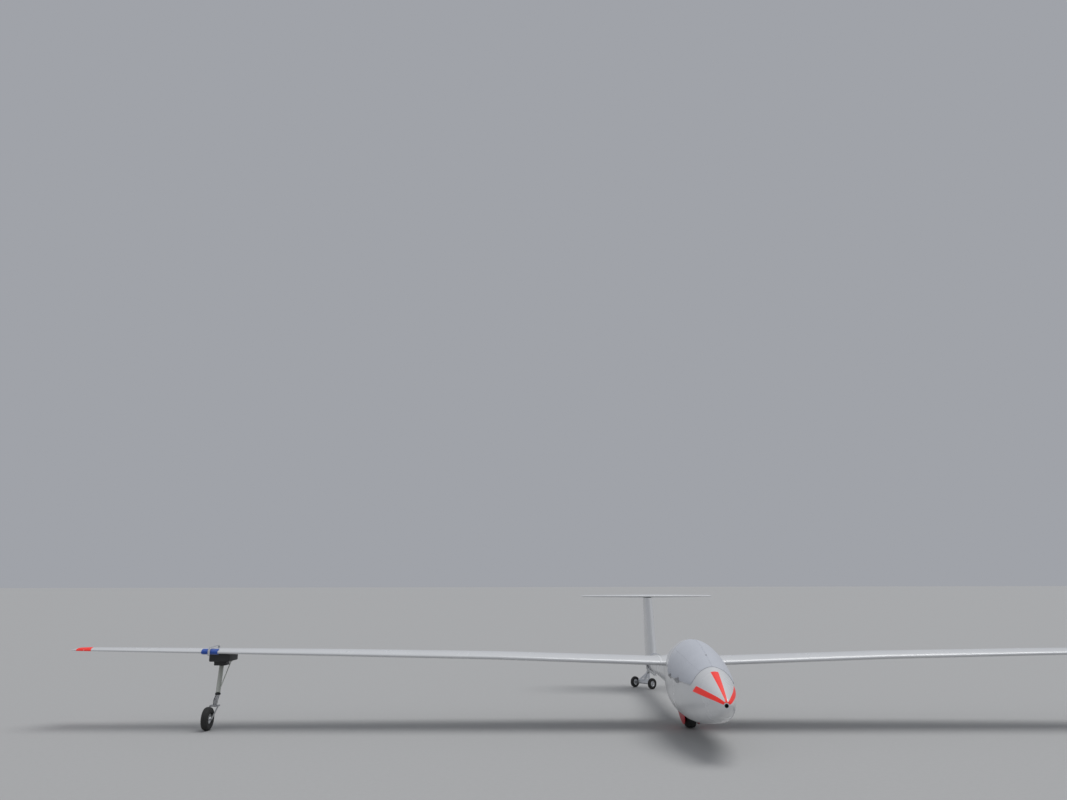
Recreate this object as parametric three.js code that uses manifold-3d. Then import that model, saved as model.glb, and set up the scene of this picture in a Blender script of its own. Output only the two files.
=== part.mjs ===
// Single-seat fibreglass sailplane, parked on its main wheel, a tail dolly and a wing wheel.
// Millimetres, +Z up. The nose points to -Y and the glider's left wing to +X.
// A station s is the distance aft of the nose tip, and y = s - LENGTH / 2.

import * as THREE from 'three';
import { mergeVertices } from 'three/addons/utils/BufferGeometryUtils.js';
import Module from 'manifold-3d';

const wasm = await Module();
wasm.setup();

// Driving dimensions of the airframe
const LENGTH = 6520;
const SEAT_GAP = 0.35;
const RUN_GAP = 5;
const PIN_GAP = 0.5;
const SKIN = 12;
const WHEEL_SIDES = 20;
const NOSE_PROUD = 0.7;

// Fuselage sections: station, half width, top, height of the widest line, bottom, and the
// powers of the curves above and below that line, where 2 is an ellipse and more is squarer
const FUSELAGE = [
  { s: 0, half: 24, top: 553, wide: 530, low: 507, up: 2.0, down: 2.2 },
  { s: 100, half: 92, top: 622, wide: 537, low: 428, up: 1.95, down: 2.3 },
  { s: 315, half: 160, top: 713, wide: 553, low: 345, up: 1.86, down: 2.6 },
  { s: 580, half: 216, top: 811, wide: 586, low: 284, up: 1.8, down: 2.9 },
  { s: 990, half: 279, top: 931, wide: 630, low: 226, up: 1.79, down: 3.0 },
  { s: 1300, half: 302, top: 1002, wide: 648, low: 211, up: 1.79, down: 3.05 },
  { s: 1620, half: 310, top: 1033, wide: 661, low: 208, up: 1.79, down: 3.05 },
  { s: 2030, half: 292, top: 1015, wide: 666, low: 217, up: 1.8, down: 3.0 },
  { s: 2400, half: 247, top: 945, wide: 640, low: 245, up: 1.86, down: 2.8 },
  { s: 2800, half: 192, top: 843, wide: 594, low: 290, up: 1.94, down: 2.5 },
  { s: 3250, half: 149, top: 745, wide: 546, low: 326, up: 2.0, down: 2.3 },
  { s: 3800, half: 126, top: 676, wide: 510, low: 342, up: 2.0, down: 2.2 },
  { s: 4500, half: 112, top: 627, wide: 487, low: 350, up: 2.0, down: 2.2 },
  { s: 5300, half: 98, top: 588, wide: 474, low: 364, up: 2.0, down: 2.2 },
  { s: 6120, half: 52, top: 558, wide: 470, low: 386, up: 2.0, down: 2.2 },
];
const RING_POINTS = 28;
const NOSE_HOLE = { z: 530, radius: 20, depth: 70 };

// Cockpit
const CAVITY = { front: 230, rear: 1880 };
const CANOPY = {
  front: 626, rearLow: 1700, rearTop: 1850, sill: 643, crown: 1040, frontRadius: 70, rearRadius: 170,
};
const CANOPY_HULL = { from: 540, to: 1980, steps: 10 };
const CANOPY_RIM = 34;
const CANOPY_FRAME_DEPTH = 16;
const GLASS_DEPTH = 4;
const SILL_LIP = { outside: 26, inside: 22, thick: 8 };
const COVER = { from: 0.6, to: 3.2, inset: 9 };
const HINGE = {
  x: -324, z: 658, pin: 5, ring: 9, length: 44, ear: 10, arm: 60, room: 5, stations: [1080, 1480],
};
const SEAT = {
  half: 235, thick: 10, floor: 345, front: 960, knee: 410, bend: 1070, hip: 1330, back: 1440, head: 1700,
  shoulder: 850, tray: { from: 900, to: 1800, low: 200, high: 600 },
};
const HEADREST = { half: 95, stem: 14, stemFrom: 1690, stemLow: 930, stemHigh: 954 };
const PANEL = { front: 815, rear: 905, low: 430, high: 800, half: 130, stem: 60 };
const PEDALS = { s: 470, z: 470, half: 95, width: 66, height: 130, bar: 12 };
const STICK = { s: 1130, height: 250, grip: 15 };
const RAIL = { x: 246, z: 545, from: 1000, to: 1400, radius: 7, stay: 20, inset: 22, knob: 13 };
// Handles on the rails: station, height over the rail, and half the handle's length
const LEVERS = [
  { label: 'left', side: 1, handles: [{ s: 1120, rise: 62, grip: 48 }, { s: 1290, rise: 44, grip: 16 }] },
  { label: 'right', side: -1, handles: [{ s: 1180, rise: 56, grip: 42 }] },
];

// Wing sections, right and left alike: span station, leading edge, chord, height, thickness ratio
const WING = [
  { x: 334, lead: 1985, chord: 840, z: 733, thick: 0.118 },
  { x: 2300, lead: 2005, chord: 770, z: 798, thick: 0.115 },
  { x: 4200, lead: 2030, chord: 680, z: 835, thick: 0.113 },
  { x: 7300, lead: 2140, chord: 370, z: 885, thick: 0.112 },
  { x: 7420, lead: 2165, chord: 330, z: 884, thick: 0.104 },
  { x: 7500, lead: 2215, chord: 255, z: 878, thick: 0.040 },
];
const WING_CAMBER = 0.03;
const INCIDENCE = Math.tan(THREE.MathUtils.degToRad(2));
const HINGE_PIN = 4;
const ROOT_STUB = { from: 150, grow: 14 };
const AILERON = { inner: 4420, outer: 7080, hinge: 0.79 };
const BRAKE = {
  inner: 2350, outer: 3550, at: 0.52, cap: 30, capThick: 5, plate: 5, gap: 5, pocket: 60, blade: 52,
};

// Tail: heights and stations of the fin and rudder together, then the tailplane
const FIN = [
  { z: 404, lead: 5180, trail: 6412, thick: 0.125 },
  { z: 700, lead: 5335, trail: 6448, thick: 0.135 },
  { z: 1436, lead: 5647, trail: 6525.7, thick: 0.135 },
];
const FIN_BASE = 500;
const RUDDER = { low: 410, high: 1382, hingeLow: 6075, hingeHigh: 6195 };
const TAILPLANE = [
  { x: 0, lead: 5840, chord: 515, z: 1461, thick: 0.105 },
  { x: 1000, lead: 5976, chord: 325, z: 1461, thick: 0.095 },
  { x: 1060, lead: 5992, chord: 302, z: 1461, thick: 0.085 },
  { x: 1085, lead: 6024, chord: 246, z: 1461, thick: 0.045 },
];
const ELEVATOR = { hinge: 6202, half: 1040 };

// Undercarriage and tow-out gear
const MAIN_WHEEL = { s: 2150, radius: 180, width: 124, rim: 72, bore: 13 };
const WELL = { front: 1890, rear: 2420, half: 92, low: 100, roof: 440 };
const GEAR_LEG = { x: 76, thick: 9, width: 58 };
const GEAR_DOOR = {
  front: 1900, rear: 2440, top: 330, edge: 222, drop: 175, thick: 7, x: 104, lean: 6,
};
const TOW_HOOK = { s: 1800, half: 17, length: 76, low: 190 };
const TAIL_WHEEL = { s: 5940, z: 396, radius: 72, width: 38, rim: 36, bore: 6 };
const DOLLY = {
  front: 5070, rear: 5205, shell: 14, post: 6100, postRadius: 24, deck: 256, keel: 278, keelDeep: 30,
  wheel: 85, width: 50, rim: 44, track: 190, trail: 122, turned: 130, axle: 9,
};
const WING_WHEEL = {
  x: -5665, boardX: -5657, padX: -5750, boardHalf: 123, boardFront: 2162, boardRear: 2480, boardLow: 750,
  padHalf: 105, mastTop: 2390, mastFoot: 2235, headDeep: 56, foot: 385, mastRadius: 27, mastLean: -34,
  pivot: 2165, pin: 8, crown: 252, axle: 1958, wheel: 130, width: 78, rim: 58, bore: 8,
};
// Clamp bar over the wing: half width, thickness, and its heights over the leading edge
const CLAMP_BAR = { half: 13, thick: 7, ahead: 22, hook: -34, shoulder: 58, crest: 74, foot: 30, reach: 345 };

const COLOURS = {
  gelcoat: { color: 0xe9ebee, roughness: 0.25, metalness: 0 },
  cloth: { color: 0xb4b9c0, roughness: 0.9, metalness: 0 },
  red: { color: 0xe8202c, roughness: 0.45, metalness: 0 },
  clear: { color: 0xdfe8ec, roughness: 0.05, metalness: 0 },
  rubber: { color: 0x17181a, roughness: 0.85, metalness: 0 },
  silver: { color: 0xc3c7cb, roughness: 0.35, metalness: 0.9 },
  black: { color: 0x1b1c1e, roughness: 0.6, metalness: 0 },
  blue: { color: 0x17457f, roughness: 0.9, metalness: 0 },
  grey: { color: 0x8d9296, roughness: 0.5, metalness: 0 },
};

const glider = new THREE.Group();
const at = (s) => s - LENGTH / 2;
const vec = (x, y, z) => new THREE.Vector3(x, y, z);

// Closed solids, their cuts and their joins

function solid(geometry) {
  const bare = geometry.clone();
  ['normal', 'uv', 'uv1', 'color'].forEach((name) => bare.deleteAttribute(name));
  const merged = mergeVertices(bare, 1e-4);
  const index = Uint32Array.from(merged.index.array);
  const points = Float32Array.from(merged.attributes.position.array);
  const made = new wasm.Manifold(new wasm.Mesh({ numProp: 3, vertProperties: points, triVerts: index }));
  if (made.volume() > 0) return made;
  for (let i = 0; i < index.length; i += 3) [index[i], index[i + 1]] = [index[i + 1], index[i]];
  return new wasm.Manifold(new wasm.Mesh({ numProp: 3, vertProperties: points, triVerts: index }));
}

function geometryOf(body) {
  const mesh = body.getMesh();
  const geometry = new THREE.BufferGeometry();
  geometry.setAttribute('position', new THREE.BufferAttribute(Float32Array.from(mesh.vertProperties), 3));
  geometry.setIndex(new THREE.BufferAttribute(Uint32Array.from(mesh.triVerts), 1));
  geometry.computeVertexNormals();
  return geometry;
}

function largest(body) {
  return body.decompose().reduce((a, b) => (a.volume() > b.volume() ? a : b));
}

function add(name, body, look) {
  const mesh = new THREE.Mesh(geometryOf(body), new THREE.MeshStandardMaterial(COLOURS[look]));
  mesh.name = name;
  glider.add(mesh);
}

const join = (...bodies) => bodies.reduce((a, b) => a.add(b));
const cut = (body, ...tools) => tools.reduce((a, b) => a.subtract(b), body);

function box(x0, x1, s0, s1, z0, z1) {
  const geometry = new THREE.BoxGeometry(x1 - x0, s1 - s0, z1 - z0);
  geometry.translate((x0 + x1) / 2, at((s0 + s1) / 2), (z0 + z1) / 2);
  return solid(geometry);
}

// A rod or cone from one point to another
function rod(from, to, radius, endRadius = radius, sides = 20) {
  const length = from.distanceTo(to);
  const geometry = new THREE.CylinderGeometry(endRadius, radius, length, sides);
  geometry.translate(0, length / 2, 0);
  const turn = new THREE.Quaternion().setFromUnitVectors(
    vec(0, 1, 0), to.clone().sub(from).normalize());
  geometry.applyQuaternion(turn);
  geometry.translate(from.x, from.y, from.z);
  return solid(geometry);
}

// Turns a drawing of (station, height) upright, with its depth along X
const SIDE_VIEW = new THREE.Matrix4().makeBasis(vec(0, 1, 0), vec(0, 0, 1), vec(1, 0, 0));

// A side view outline (station, height) pushed through from x0 to x1
function sideCut(shape, x0, x1, segments = 8) {
  const options = { depth: x1 - x0, bevelEnabled: false, curveSegments: segments };
  const geometry = new THREE.ExtrudeGeometry(shape, options);
  geometry.applyMatrix4(SIDE_VIEW);
  geometry.translate(x0, at(0), 0);
  return solid(geometry);
}

// A body through rings of equal point counts, closed by a flat face at both ends
function loft(rings) {
  const count = rings[0].length;
  const index = [];
  for (let r = 0; r + 1 < rings.length; r += 1) {
    for (let i = 0; i < count; i += 1) {
      const j = (i + 1) % count;
      const [a, b, c, d] = [r * count + i, r * count + j, (r + 1) * count + j, (r + 1) * count + i];
      index.push(a, b, c, a, c, d);
    }
  }
  [0, rings.length - 1].forEach((r) => {
    const faces = endFace(rings[r]);
    faces.forEach(([a, b, c]) => {
      const [p, q, t] = [a, b, c].map((i) => r * count + i);
      if (r === 0) index.push(q, p, t);
      else index.push(p, q, t);
    });
  });
  const geometry = new THREE.BufferGeometry().setFromPoints(rings.flat());
  geometry.setIndex(index);
  return solid(geometry);
}

// Triangles of a flat ring, in the ring's own winding
function endFace(ring) {
  const normal = vec(0, 0, 0);
  ring.forEach((p, i) => normal.add(p.clone().cross(ring[(i + 1) % ring.length])));
  const along = ring[1].clone().sub(ring[0]).normalize();
  const across = normal.normalize().clone().cross(along);
  const flat = ring.map((p) => new THREE.Vector2(p.dot(along), p.dot(across)));
  return THREE.ShapeUtils.triangulateShape(flat, []);
}

// Smooth value of a table's column at a place, without overshoot
function smooth(table, key, column, place) {
  const n = table.length;
  const x = table.map((row) => key(row));
  const y = table.map((row) => row[column]);
  if (place <= x[0]) return y[0];
  if (place >= x[n - 1]) return y[n - 1];
  const slope = x.slice(1).map((_, i) => (y[i + 1] - y[i]) / (x[i + 1] - x[i]));
  const tangent = x.map((_, i) => {
    if (i === 0) return slope[0];
    if (i === n - 1) return slope[n - 2];
    const [a, b] = [slope[i - 1], slope[i]];
    return a * b <= 0 ? 0 : (2 * a * b) / (a + b);
  });
  const i = x.findIndex((value, k) => k + 1 < n && place <= x[k + 1]);
  const h = x[i + 1] - x[i];
  const t = (place - x[i]) / h;
  const [t2, t3] = [t * t, t * t * t];
  return (2 * t3 - 3 * t2 + 1) * y[i] + (t3 - 2 * t2 + t) * h * tangent[i]
    + (3 * t2 - 2 * t3) * y[i + 1] + (t3 - t2) * h * tangent[i + 1];
}

// Fuselage

function section(s) {
  const place = Math.sqrt(Math.max(s, 0));
  const columns = Object.keys(FUSELAGE[0]).slice(1);
  const values = columns.map((column) => smooth(FUSELAGE, (row) => Math.sqrt(row.s), column, place));
  return Object.fromEntries(columns.map((column, i) => [column, values[i]]));
}

function fuselageRing(s, grow, points = RING_POINTS) {
  const { half, top, wide, low, up, down } = section(s);
  return Array.from({ length: points }, (_, i) => {
    const angle = (2 * Math.PI * i) / points;
    const [c, q] = [Math.cos(angle), Math.sin(angle)];
    const power = q >= 0 ? up : down;
    const reach = q >= 0 ? top + grow - wide : wide - low + grow;
    const x = (half + grow) * Math.sign(c) * Math.abs(c) ** (2 / power);
    return vec(x, at(s), wide + reach * Math.sign(q) * Math.abs(q) ** (2 / power));
  });
}

// The fuselage's form, grown or shrunk by grow, from one station to another
function hull(grow, from = 0, to = FUSELAGE.at(-1).s, steps = 26, points = RING_POINTS) {
  const [a, b] = [Math.sqrt(from), Math.sqrt(to)];
  const stations = Array.from({ length: steps + 1 }, (_, i) => (a + ((b - a) * i) / steps) ** 2);
  return loft(stations.map((s) => fuselageRing(s, grow, points)));
}

const canopyHull = (grow) => hull(grow, CANOPY_HULL.from, CANOPY_HULL.to, CANOPY_HULL.steps);

// Side view outline of the canopy, shrunk inwards by inset
function canopyOutline(inset) {
  const { front, rearLow, rearTop, sill, crown, frontRadius, rearRadius } = CANOPY;
  const lean = (rearTop - rearLow) / (crown - sill);
  const [low, roof] = [sill + inset, crown + 255];
  const start = front + inset;
  const rearAt = (z) => rearLow + lean * (z - sill) - inset * Math.hypot(1, lean);
  const shape = new THREE.Shape();
  shape.moveTo(start, roof);
  shape.lineTo(start, low + frontRadius);
  shape.quadraticCurveTo(start, low, start + frontRadius, low);
  shape.lineTo(rearAt(low) - rearRadius, low);
  shape.quadraticCurveTo(rearAt(low), low, rearAt(low + rearRadius), low + rearRadius);
  shape.lineTo(rearAt(roof), roof);
  return shape;
}

const canopyRegion = (inset) => sideCut(canopyOutline(inset), -420, 420, 6);

const hingeRod = (from, to, radius) => rod(
  vec(HINGE.x, at(from), HINGE.z), vec(HINGE.x, at(to), HINGE.z), radius);

function hingeEars(s) {
  const { x, z, ear, arm, ring } = HINGE;
  const half = HINGE.length / 2;
  const ears = [-1, 1].map((side) => {
    const from = s + side * (half + 2) - ear / 2;
    const foot = box(x - 3, x + arm, from, from + ear, z - 34, z);
    return join(hingeRod(from, from + ear, ring), foot);
  });
  return join(...ears, hingeRod(s - half - 4, s + half + 4, HINGE.pin));
}

function hingeKnuckle(s) {
  const { x, z, arm, ring } = HINGE;
  const half = HINGE.length / 2 - 6;
  const strap = box(x, x + arm, s - half, s + half, z + 1, z + 16);
  return join(hingeRod(s - half, s + half, ring), strap);
}

function buildFuselage(boomCut) {
  const stub = join(wingStub(1), wingStub(-1));
  const cavity = hull(-SKIN, CAVITY.front, CAVITY.rear, 12, 24);
  const opening = canopyRegion(-RUN_GAP).intersect(hull(40, 500, 2000, 12));
  const well = box(-WELL.half, WELL.half, WELL.front, WELL.rear, WELL.low, WELL.roof);
  const mouth = (s) => vec(0, at(s), NOSE_HOLE.z);
  const hole = rod(mouth(-5), mouth(NOSE_HOLE.depth), NOSE_HOLE.radius);
  let body = cut(join(hull(0), stub), cavity, opening, well, hole, tailWheelSlot(), boomCut);
  body = join(body, sillLip(), tailWheelAxle());
  HINGE.stations.forEach((s) => { body = addHinge(body, s); });
  add('fuselage_shell', largest(body), 'gelcoat');
}

// Two ears and a pin on the sill, with room between them for the canopy's knuckle
function addHinge(body, s) {
  const ears = cut(hingeEars(s), hull(-SKIN / 2), canopyRegion(-RUN_GAP).intersect(hull(8)));
  const half = HINGE.length / 2;
  const room = hingeRod(s - half + 4, s + half - 4, HINGE.ring + HINGE.room);
  return join(cut(join(body, ears), room), hingeRod(s - half - 4, s + half + 4, HINGE.pin));
}

// The rebate under the canopy rim: a ledge inside the skin that the rim rests on
function sillLip() {
  const under = -CANOPY_FRAME_DEPTH - SEAT_GAP;
  const band = cut(canopyRegion(-SILL_LIP.outside), canopyRegion(SILL_LIP.inside));
  return cut(canopyHull(under), canopyHull(under - SILL_LIP.thick)).intersect(band);
}

// Canopy: rim, clear shell and the cloth cover drawn over both

function buildCanopy() {
  const outer = canopyHull(0);
  const inner = canopyHull(-CANOPY_FRAME_DEPTH);
  const rim = cut(outer, inner, canopyRegion(CANOPY_RIM)).intersect(canopyRegion(0));
  const knuckles = HINGE.stations.map((s) => {
    const bore = hingeRod(s - HINGE.length, s + HINGE.length, HINGE.pin + PIN_GAP);
    return cut(hingeKnuckle(s), inner, bore);
  });
  add('canopy_frame', largest(join(rim, ...knuckles)), 'gelcoat');
  const shell = cut(outer, canopyHull(-GLASS_DEPTH));
  add('canopy_glass', largest(shell.intersect(canopyRegion(CANOPY_RIM + SEAT_GAP))), 'clear');
  const skin = cut(canopyHull(COVER.to), canopyHull(COVER.from)).intersect(canopyRegion(COVER.inset));
  const notches = HINGE.stations.map((s) => box(
    HINGE.x - 20, HINGE.x + HINGE.arm, s - 30, s + 30, HINGE.z - 30, HINGE.z + 22));
  add('canopy_cover', largest(cut(skin, ...notches)), 'cloth');
}

// Cockpit fittings, each trimmed to the inside of the skin

const cockpitRoom = () => hull(-SKIN - SEAT_GAP, CAVITY.front + 1, CAVITY.rear - 1, 12, 24);
const inside = (body) => largest(body.intersect(cockpitRoom()));

// Side view of the seat pan: thigh ramp, floor and back rest, as one bent sheet
function seatOutline() {
  const { thick, floor, front, knee, bend, hip, back, head, shoulder } = SEAT;
  const low = floor - thick;
  const shape = new THREE.Shape();
  shape.moveTo(front, knee);
  shape.quadraticCurveTo(front + 50, floor, bend, floor);
  shape.lineTo(hip, floor);
  shape.quadraticCurveTo(back - 40, floor, back, knee);
  shape.lineTo(head, shoulder);
  shape.lineTo(head + thick + 2, shoulder);
  shape.lineTo(back + thick + 2, knee - 5);
  shape.quadraticCurveTo(back - 36, low, hip, low);
  shape.lineTo(bend, low);
  shape.quadraticCurveTo(front + 46, low, front - 8, knee - 4);
  return shape;
}

function buildSeat() {
  const { half, tray } = SEAT;
  const wide = -HINGE.x;
  const lowPart = sideCut(seatOutline(), -wide, wide).intersect(
    box(-wide, wide, tray.from, tray.to, tray.low, tray.high));
  add('seat_pan', inside(join(sideCut(seatOutline(), -half, half), lowPart)), 'grey');
  const rest = new THREE.Shape();
  rest.moveTo(1640, 870);
  rest.lineTo(1662, 862);
  rest.lineTo(1725, 985);
  rest.lineTo(1698, 996);
  const { stem, stemFrom, stemLow, stemHigh } = HEADREST;
  const bracket = box(-stem, stem, stemFrom, CAVITY.rear - SEAT_GAP, stemLow, stemHigh);
  add('headrest', join(sideCut(rest, -HEADREST.half, HEADREST.half), bracket), 'black');
}

function buildPanel() {
  const { front, rear, low, high, half, stem } = PANEL;
  const face = new THREE.Shape();
  face.moveTo(front, high);
  face.quadraticCurveTo(front - 60, high - 60, front - 20, low + 60);
  face.lineTo(front + 20, low);
  face.lineTo(rear - 40, low);
  face.lineTo(rear, high - 10);
  const pod = sideCut(face, -half, half);
  const column = box(-stem, stem, front, rear - 45, 200, low + 40);
  add('instrument_panel', inside(join(pod, column)), 'black');
}

function buildControls() {
  const { s, z, half, width, height, bar } = PEDALS;
  const plates = [-1, 1].map((side) => box(
    side * half - width / 2, side * half + width / 2, s - 6, s + 6, z - height / 2, z + height / 2));
  const tube = rod(vec(-300, at(s), z - 30), vec(300, at(s), z - 30), bar);
  add('rudder_pedals', inside(join(...plates, tube)), 'silver');
  const foot = SEAT.floor + SEAT_GAP;
  const { grip, height: tall } = STICK;
  const profile = [[0, 0], [38, 0], [30, 26], [9, 44], [8, tall - 90], [grip, tall - 84],
    [grip + 2, tall - 30], [12, tall], [0, tall]];
  const stick = new THREE.LatheGeometry(profile.map(([x, y]) => new THREE.Vector2(x, y)), 16);
  stick.rotateX(Math.PI / 2);
  stick.translate(0, at(STICK.s), foot);
  add('control_stick', solid(stick), 'black');
}

// Rails on the cockpit walls with their handles: two on the left, one on the right
function buildLevers() {
  const { x, z, from, to, radius, stay, inset, knob } = RAIL;
  const tube = (a, b, r, sides = 12) => rod(a, b, r, r, sides);
  LEVERS.forEach(({ label, side, handles }) => {
    const onRail = (s) => vec(side * x, at(s), z);
    const stays = [from + stay, to - stay].map((s) => tube(onRail(s), onRail(s).setX(side * 400), radius));
    const levers = handles.map(({ s, rise, grip }) => {
      const head = vec(side * (x - inset), at(s), z + rise);
      const ends = [-grip, grip].map((reach) => head.clone().add(vec(0, reach, 0)));
      return join(tube(onRail(s), head, radius - 1), tube(...ends, knob, 16));
    });
    const rail = tube(onRail(from), onRail(to), radius);
    add(`cockpit_levers_${label}`, inside(join(rail, ...stays, ...levers)), 'silver');
  });
}

// Wing and tail surfaces

// Half the thickness of a four-digit section, in units of the chord
function halfThickness(u, thick) {
  const [a, b, c, d, e] = [0.2969, -0.126, -0.3516, 0.2843, -0.1015];
  return 5 * thick * (a * Math.sqrt(u) + b * u + c * u ** 2 + d * u ** 3 + e * u ** 4);
}

function camberAt(u, camber) {
  const p = 0.4;
  if (u < p) return (camber / p ** 2) * (2 * p * u - u ** 2);
  return (camber / (1 - p) ** 2) * (1 - 2 * p + 2 * p * u - u ** 2);
}

// Ring of an aerofoil as pairs along the chord and across it, in units of the chord
function aerofoil(thick, camber, steps) {
  const places = Array.from({ length: steps + 1 }, (_, i) => (1 - Math.cos((Math.PI * i) / steps)) / 2);
  const upper = places.map((u) => [u, camberAt(u, camber) + halfThickness(u, thick)]);
  const lower = places.slice(1).map((u) => [u, camberAt(u, camber) - halfThickness(u, thick)]);
  return [...upper.reverse(), ...lower];
}

function wingRing(row, side, grow = 0, camber = WING_CAMBER, incidence = INCIDENCE, steps = 12) {
  const chord = row.chord + 2 * grow;
  const thick = row.thick * (row.chord / chord) + (2 * grow) / chord;
  return aerofoil(thick, camber, steps).map(([u, v]) => {
    const s = row.lead - grow + u * chord;
    return vec(side * row.x, at(s), row.z + v * chord - (u - 0.3) * chord * incidence);
  });
}

const wing = (side, grow = 0) => loft(WING.map((row) => wingRing(row, side, grow)));

// Wing section at a span station, by straight lines between the rows
function wingRow(x) {
  const i = Math.max(WING.findIndex((row, k) => k + 1 < WING.length && x <= WING[k + 1].x), 0);
  const [a, b] = [WING[i], WING[i + 1]];
  const t = (x - a.x) / (b.x - a.x);
  const blend = (column) => a[column] + t * (b[column] - a[column]);
  return { x, lead: blend('lead'), chord: blend('chord'), z: blend('z'), thick: blend('thick') };
}

function wingStub(side) {
  const { from, grow } = ROOT_STUB;
  const root = { ...WING[0], x: WING[0].x - SEAT_GAP };
  return loft([wingRing({ ...root, x: from }, side, grow), wingRing(root, side, grow)]);
}

// A point on the wing's camber line
function wingPoint(x, u, side) {
  const row = wingRow(x);
  const z = row.z + camberAt(u, WING_CAMBER) * row.chord - (u - 0.3) * row.chord * INCIDENCE;
  return vec(side * x, at(row.lead + u * row.chord), z);
}

// A flat-sided block with one edge face on the line a-b, reaching aft
function aftBlock(a, b, aft, halfThick) {
  const along = b.clone().sub(a).normalize();
  const across = along.clone().cross(vec(0, 1, 0)).normalize().multiplyScalar(halfThick);
  const rings = [a, b].map((p) => {
    const back = p.clone().add(vec(0, aft, 0));
    const [low, high] = [-1, 1].map((way) => [p, back].map((q) => q.clone().addScaledVector(across, way)));
    return [...low, ...high.reverse()];
  });
  return loft(rings);
}

// Splits a surface at a hinge line from a to b into what stays and what turns
function hingedSurface(whole, a, b, radiusA, radiusB, aft) {
  const along = b.clone().sub(a).normalize();
  const shift = (p, d) => p.clone().addScaledVector(along, d);
  const [a2, b2] = [shift(a, RUN_GAP), shift(b, -RUN_GAP)];
  const half = 300;
  const room = join(aftBlock(a, b, aft, half), rod(a, b, radiusA + RUN_GAP, radiusB + RUN_GAP, 28));
  const moving = join(aftBlock(a2, b2, aft, half), rod(a2, b2, radiusA, radiusB, 28)).intersect(whole);
  const endRod = (p, way, from, to, r) => rod(shift(p, from * way), shift(p, to * way), r, r, 12);
  const ends = [[a, 1], [b, -1]];
  const pins = ends.map(([p, way]) => endRod(p, way, -24, 30, HINGE_PIN));
  const bores = ends.map(([p, way]) => endRod(p, way, -2, 34, HINGE_PIN + PIN_GAP));
  return { room, fixed: join(cut(whole, room), ...pins), moving: largest(cut(moving, ...bores)) };
}

function buildWing(side, label) {
  const { inner, outer, hinge } = AILERON;
  const [a, b] = [wingPoint(inner, hinge, side), wingPoint(outer, hinge, side)];
  const radius = (x) => halfThickness(hinge, wingRow(x).thick) * wingRow(x).chord + NOSE_PROUD;
  const parts = hingedSurface(wing(side), a, b, radius(inner), radius(outer), 400);
  const brake = airbrake(side);
  add(`wing_${label}`, largest(cut(parts.fixed, brake.room)), 'gelcoat');
  add(`aileron_${label}`, parts.moving, 'gelcoat');
  add(`airbrake_blade_${label}`, brake.blade, 'gelcoat');
  add(`airbrake_lower_${label}`, brake.lower, 'silver');
}

// Airbrake: a cap with its blade, and a second blade that follows at half the lift
function airbrake(side) {
  const { inner, outer, at: place, cap, capThick, plate, gap } = BRAKE;
  const rows = [inner, outer].map(wingRow);
  const rise = (row) => camberAt(place, WING_CAMBER) + halfThickness(place, row.thick);
  const top = rows.map((row) => row.z + (rise(row) - (place - 0.3) * INCIDENCE) * row.chord);
  const middle = rows.map((row) => row.lead + place * row.chord);
  const slab = (x0, x1, ahead, behind, under, over) => {
    const t = (x) => (x - inner) / (outer - inner);
    const mid = (x) => middle[0] + t(x) * (middle[1] - middle[0]);
    const face = (x) => top[0] + t(x) * (top[1] - top[0]);
    const corners = [[-ahead, -under], [behind, -under], [behind, over], [-ahead, over]];
    const ring = (x) => corners.map(([aft, up]) => vec(side * x, at(mid(x) + aft), face(x) + up));
    return loft([ring(x0), ring(x1)]);
  };
  const slot = plate + gap;
  const halfSlot = slot + gap / 2;
  const room = join(
    slab(inner, outer, halfSlot, halfSlot, BRAKE.pocket, 40),
    slab(inner - cap / 2, outer + cap / 2, cap / 2 + 2, cap / 2 + 2, capThick + SEAT_GAP, 40));
  const capBar = slab(inner - cap / 2 + 2, outer + cap / 2 - 2, cap / 2, cap / 2, capThick, 30)
    .intersect(wing(side));
  const blade = slab(inner + gap, outer - gap, plate + gap / 2, -gap / 2, BRAKE.blade, -capThick + 1);
  const deep = BRAKE.pocket - SEAT_GAP;
  const lower = slab(inner + gap, outer - gap, -gap / 2, plate + gap / 2, deep, -capThick - 7);
  return { room, blade: join(capBar, blade), lower };
}

function finRing(row, steps = 12) {
  const chord = row.trail - row.lead;
  return aerofoil(row.thick, 0, steps).map(([u, v]) => vec(v * chord, at(row.lead + u * chord), row.z));
}

function buildFin() {
  const { low, high, hingeLow, hingeHigh } = RUDDER;
  const [a, b] = [vec(0, at(hingeLow), low - RUN_GAP), vec(0, at(hingeHigh), high + RUN_GAP)];
  const radiusAt = (z, s) => {
    const [p, q] = z < FIN[1].z ? [FIN[0], FIN[1]] : [FIN[1], FIN[2]];
    const t = (z - p.z) / (q.z - p.z);
    const mix = (column) => p[column] + t * (q[column] - p[column]);
    const chord = mix('trail') - mix('lead');
    return halfThickness((s - mix('lead')) / chord, mix('thick')) * chord + NOSE_PROUD;
  };
  const whole = loft([{ ...FIN[0], z: low - RUN_GAP - 1 }, ...FIN.slice(1)].map((row) => finRing(row)));
  const parts = hingedSurface(whole, a, b, radiusAt(low, hingeLow), radiusAt(high, hingeHigh), 600);
  const above = box(-200, 200, 5000, 6600, FIN_BASE, 1600);
  const overhang = join(
    box(-200, 200, hingeHigh + 35, 6600, high - 20, 1600),
    box(-200, 200, hingeHigh - 40, 6600, high + 36, 1600));
  const boom = join(hull(SEAT_GAP), hull(SEAT_GAP, 5000, 6119, 12));
  const trimmed = cut(parts.fixed, boom, overhang, tailplaneSolid(SEAT_GAP));
  add('fin', largest(trimmed.intersect(above)), 'gelcoat');
  add('rudder', parts.moving, 'gelcoat');
  return parts.room;
}

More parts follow.
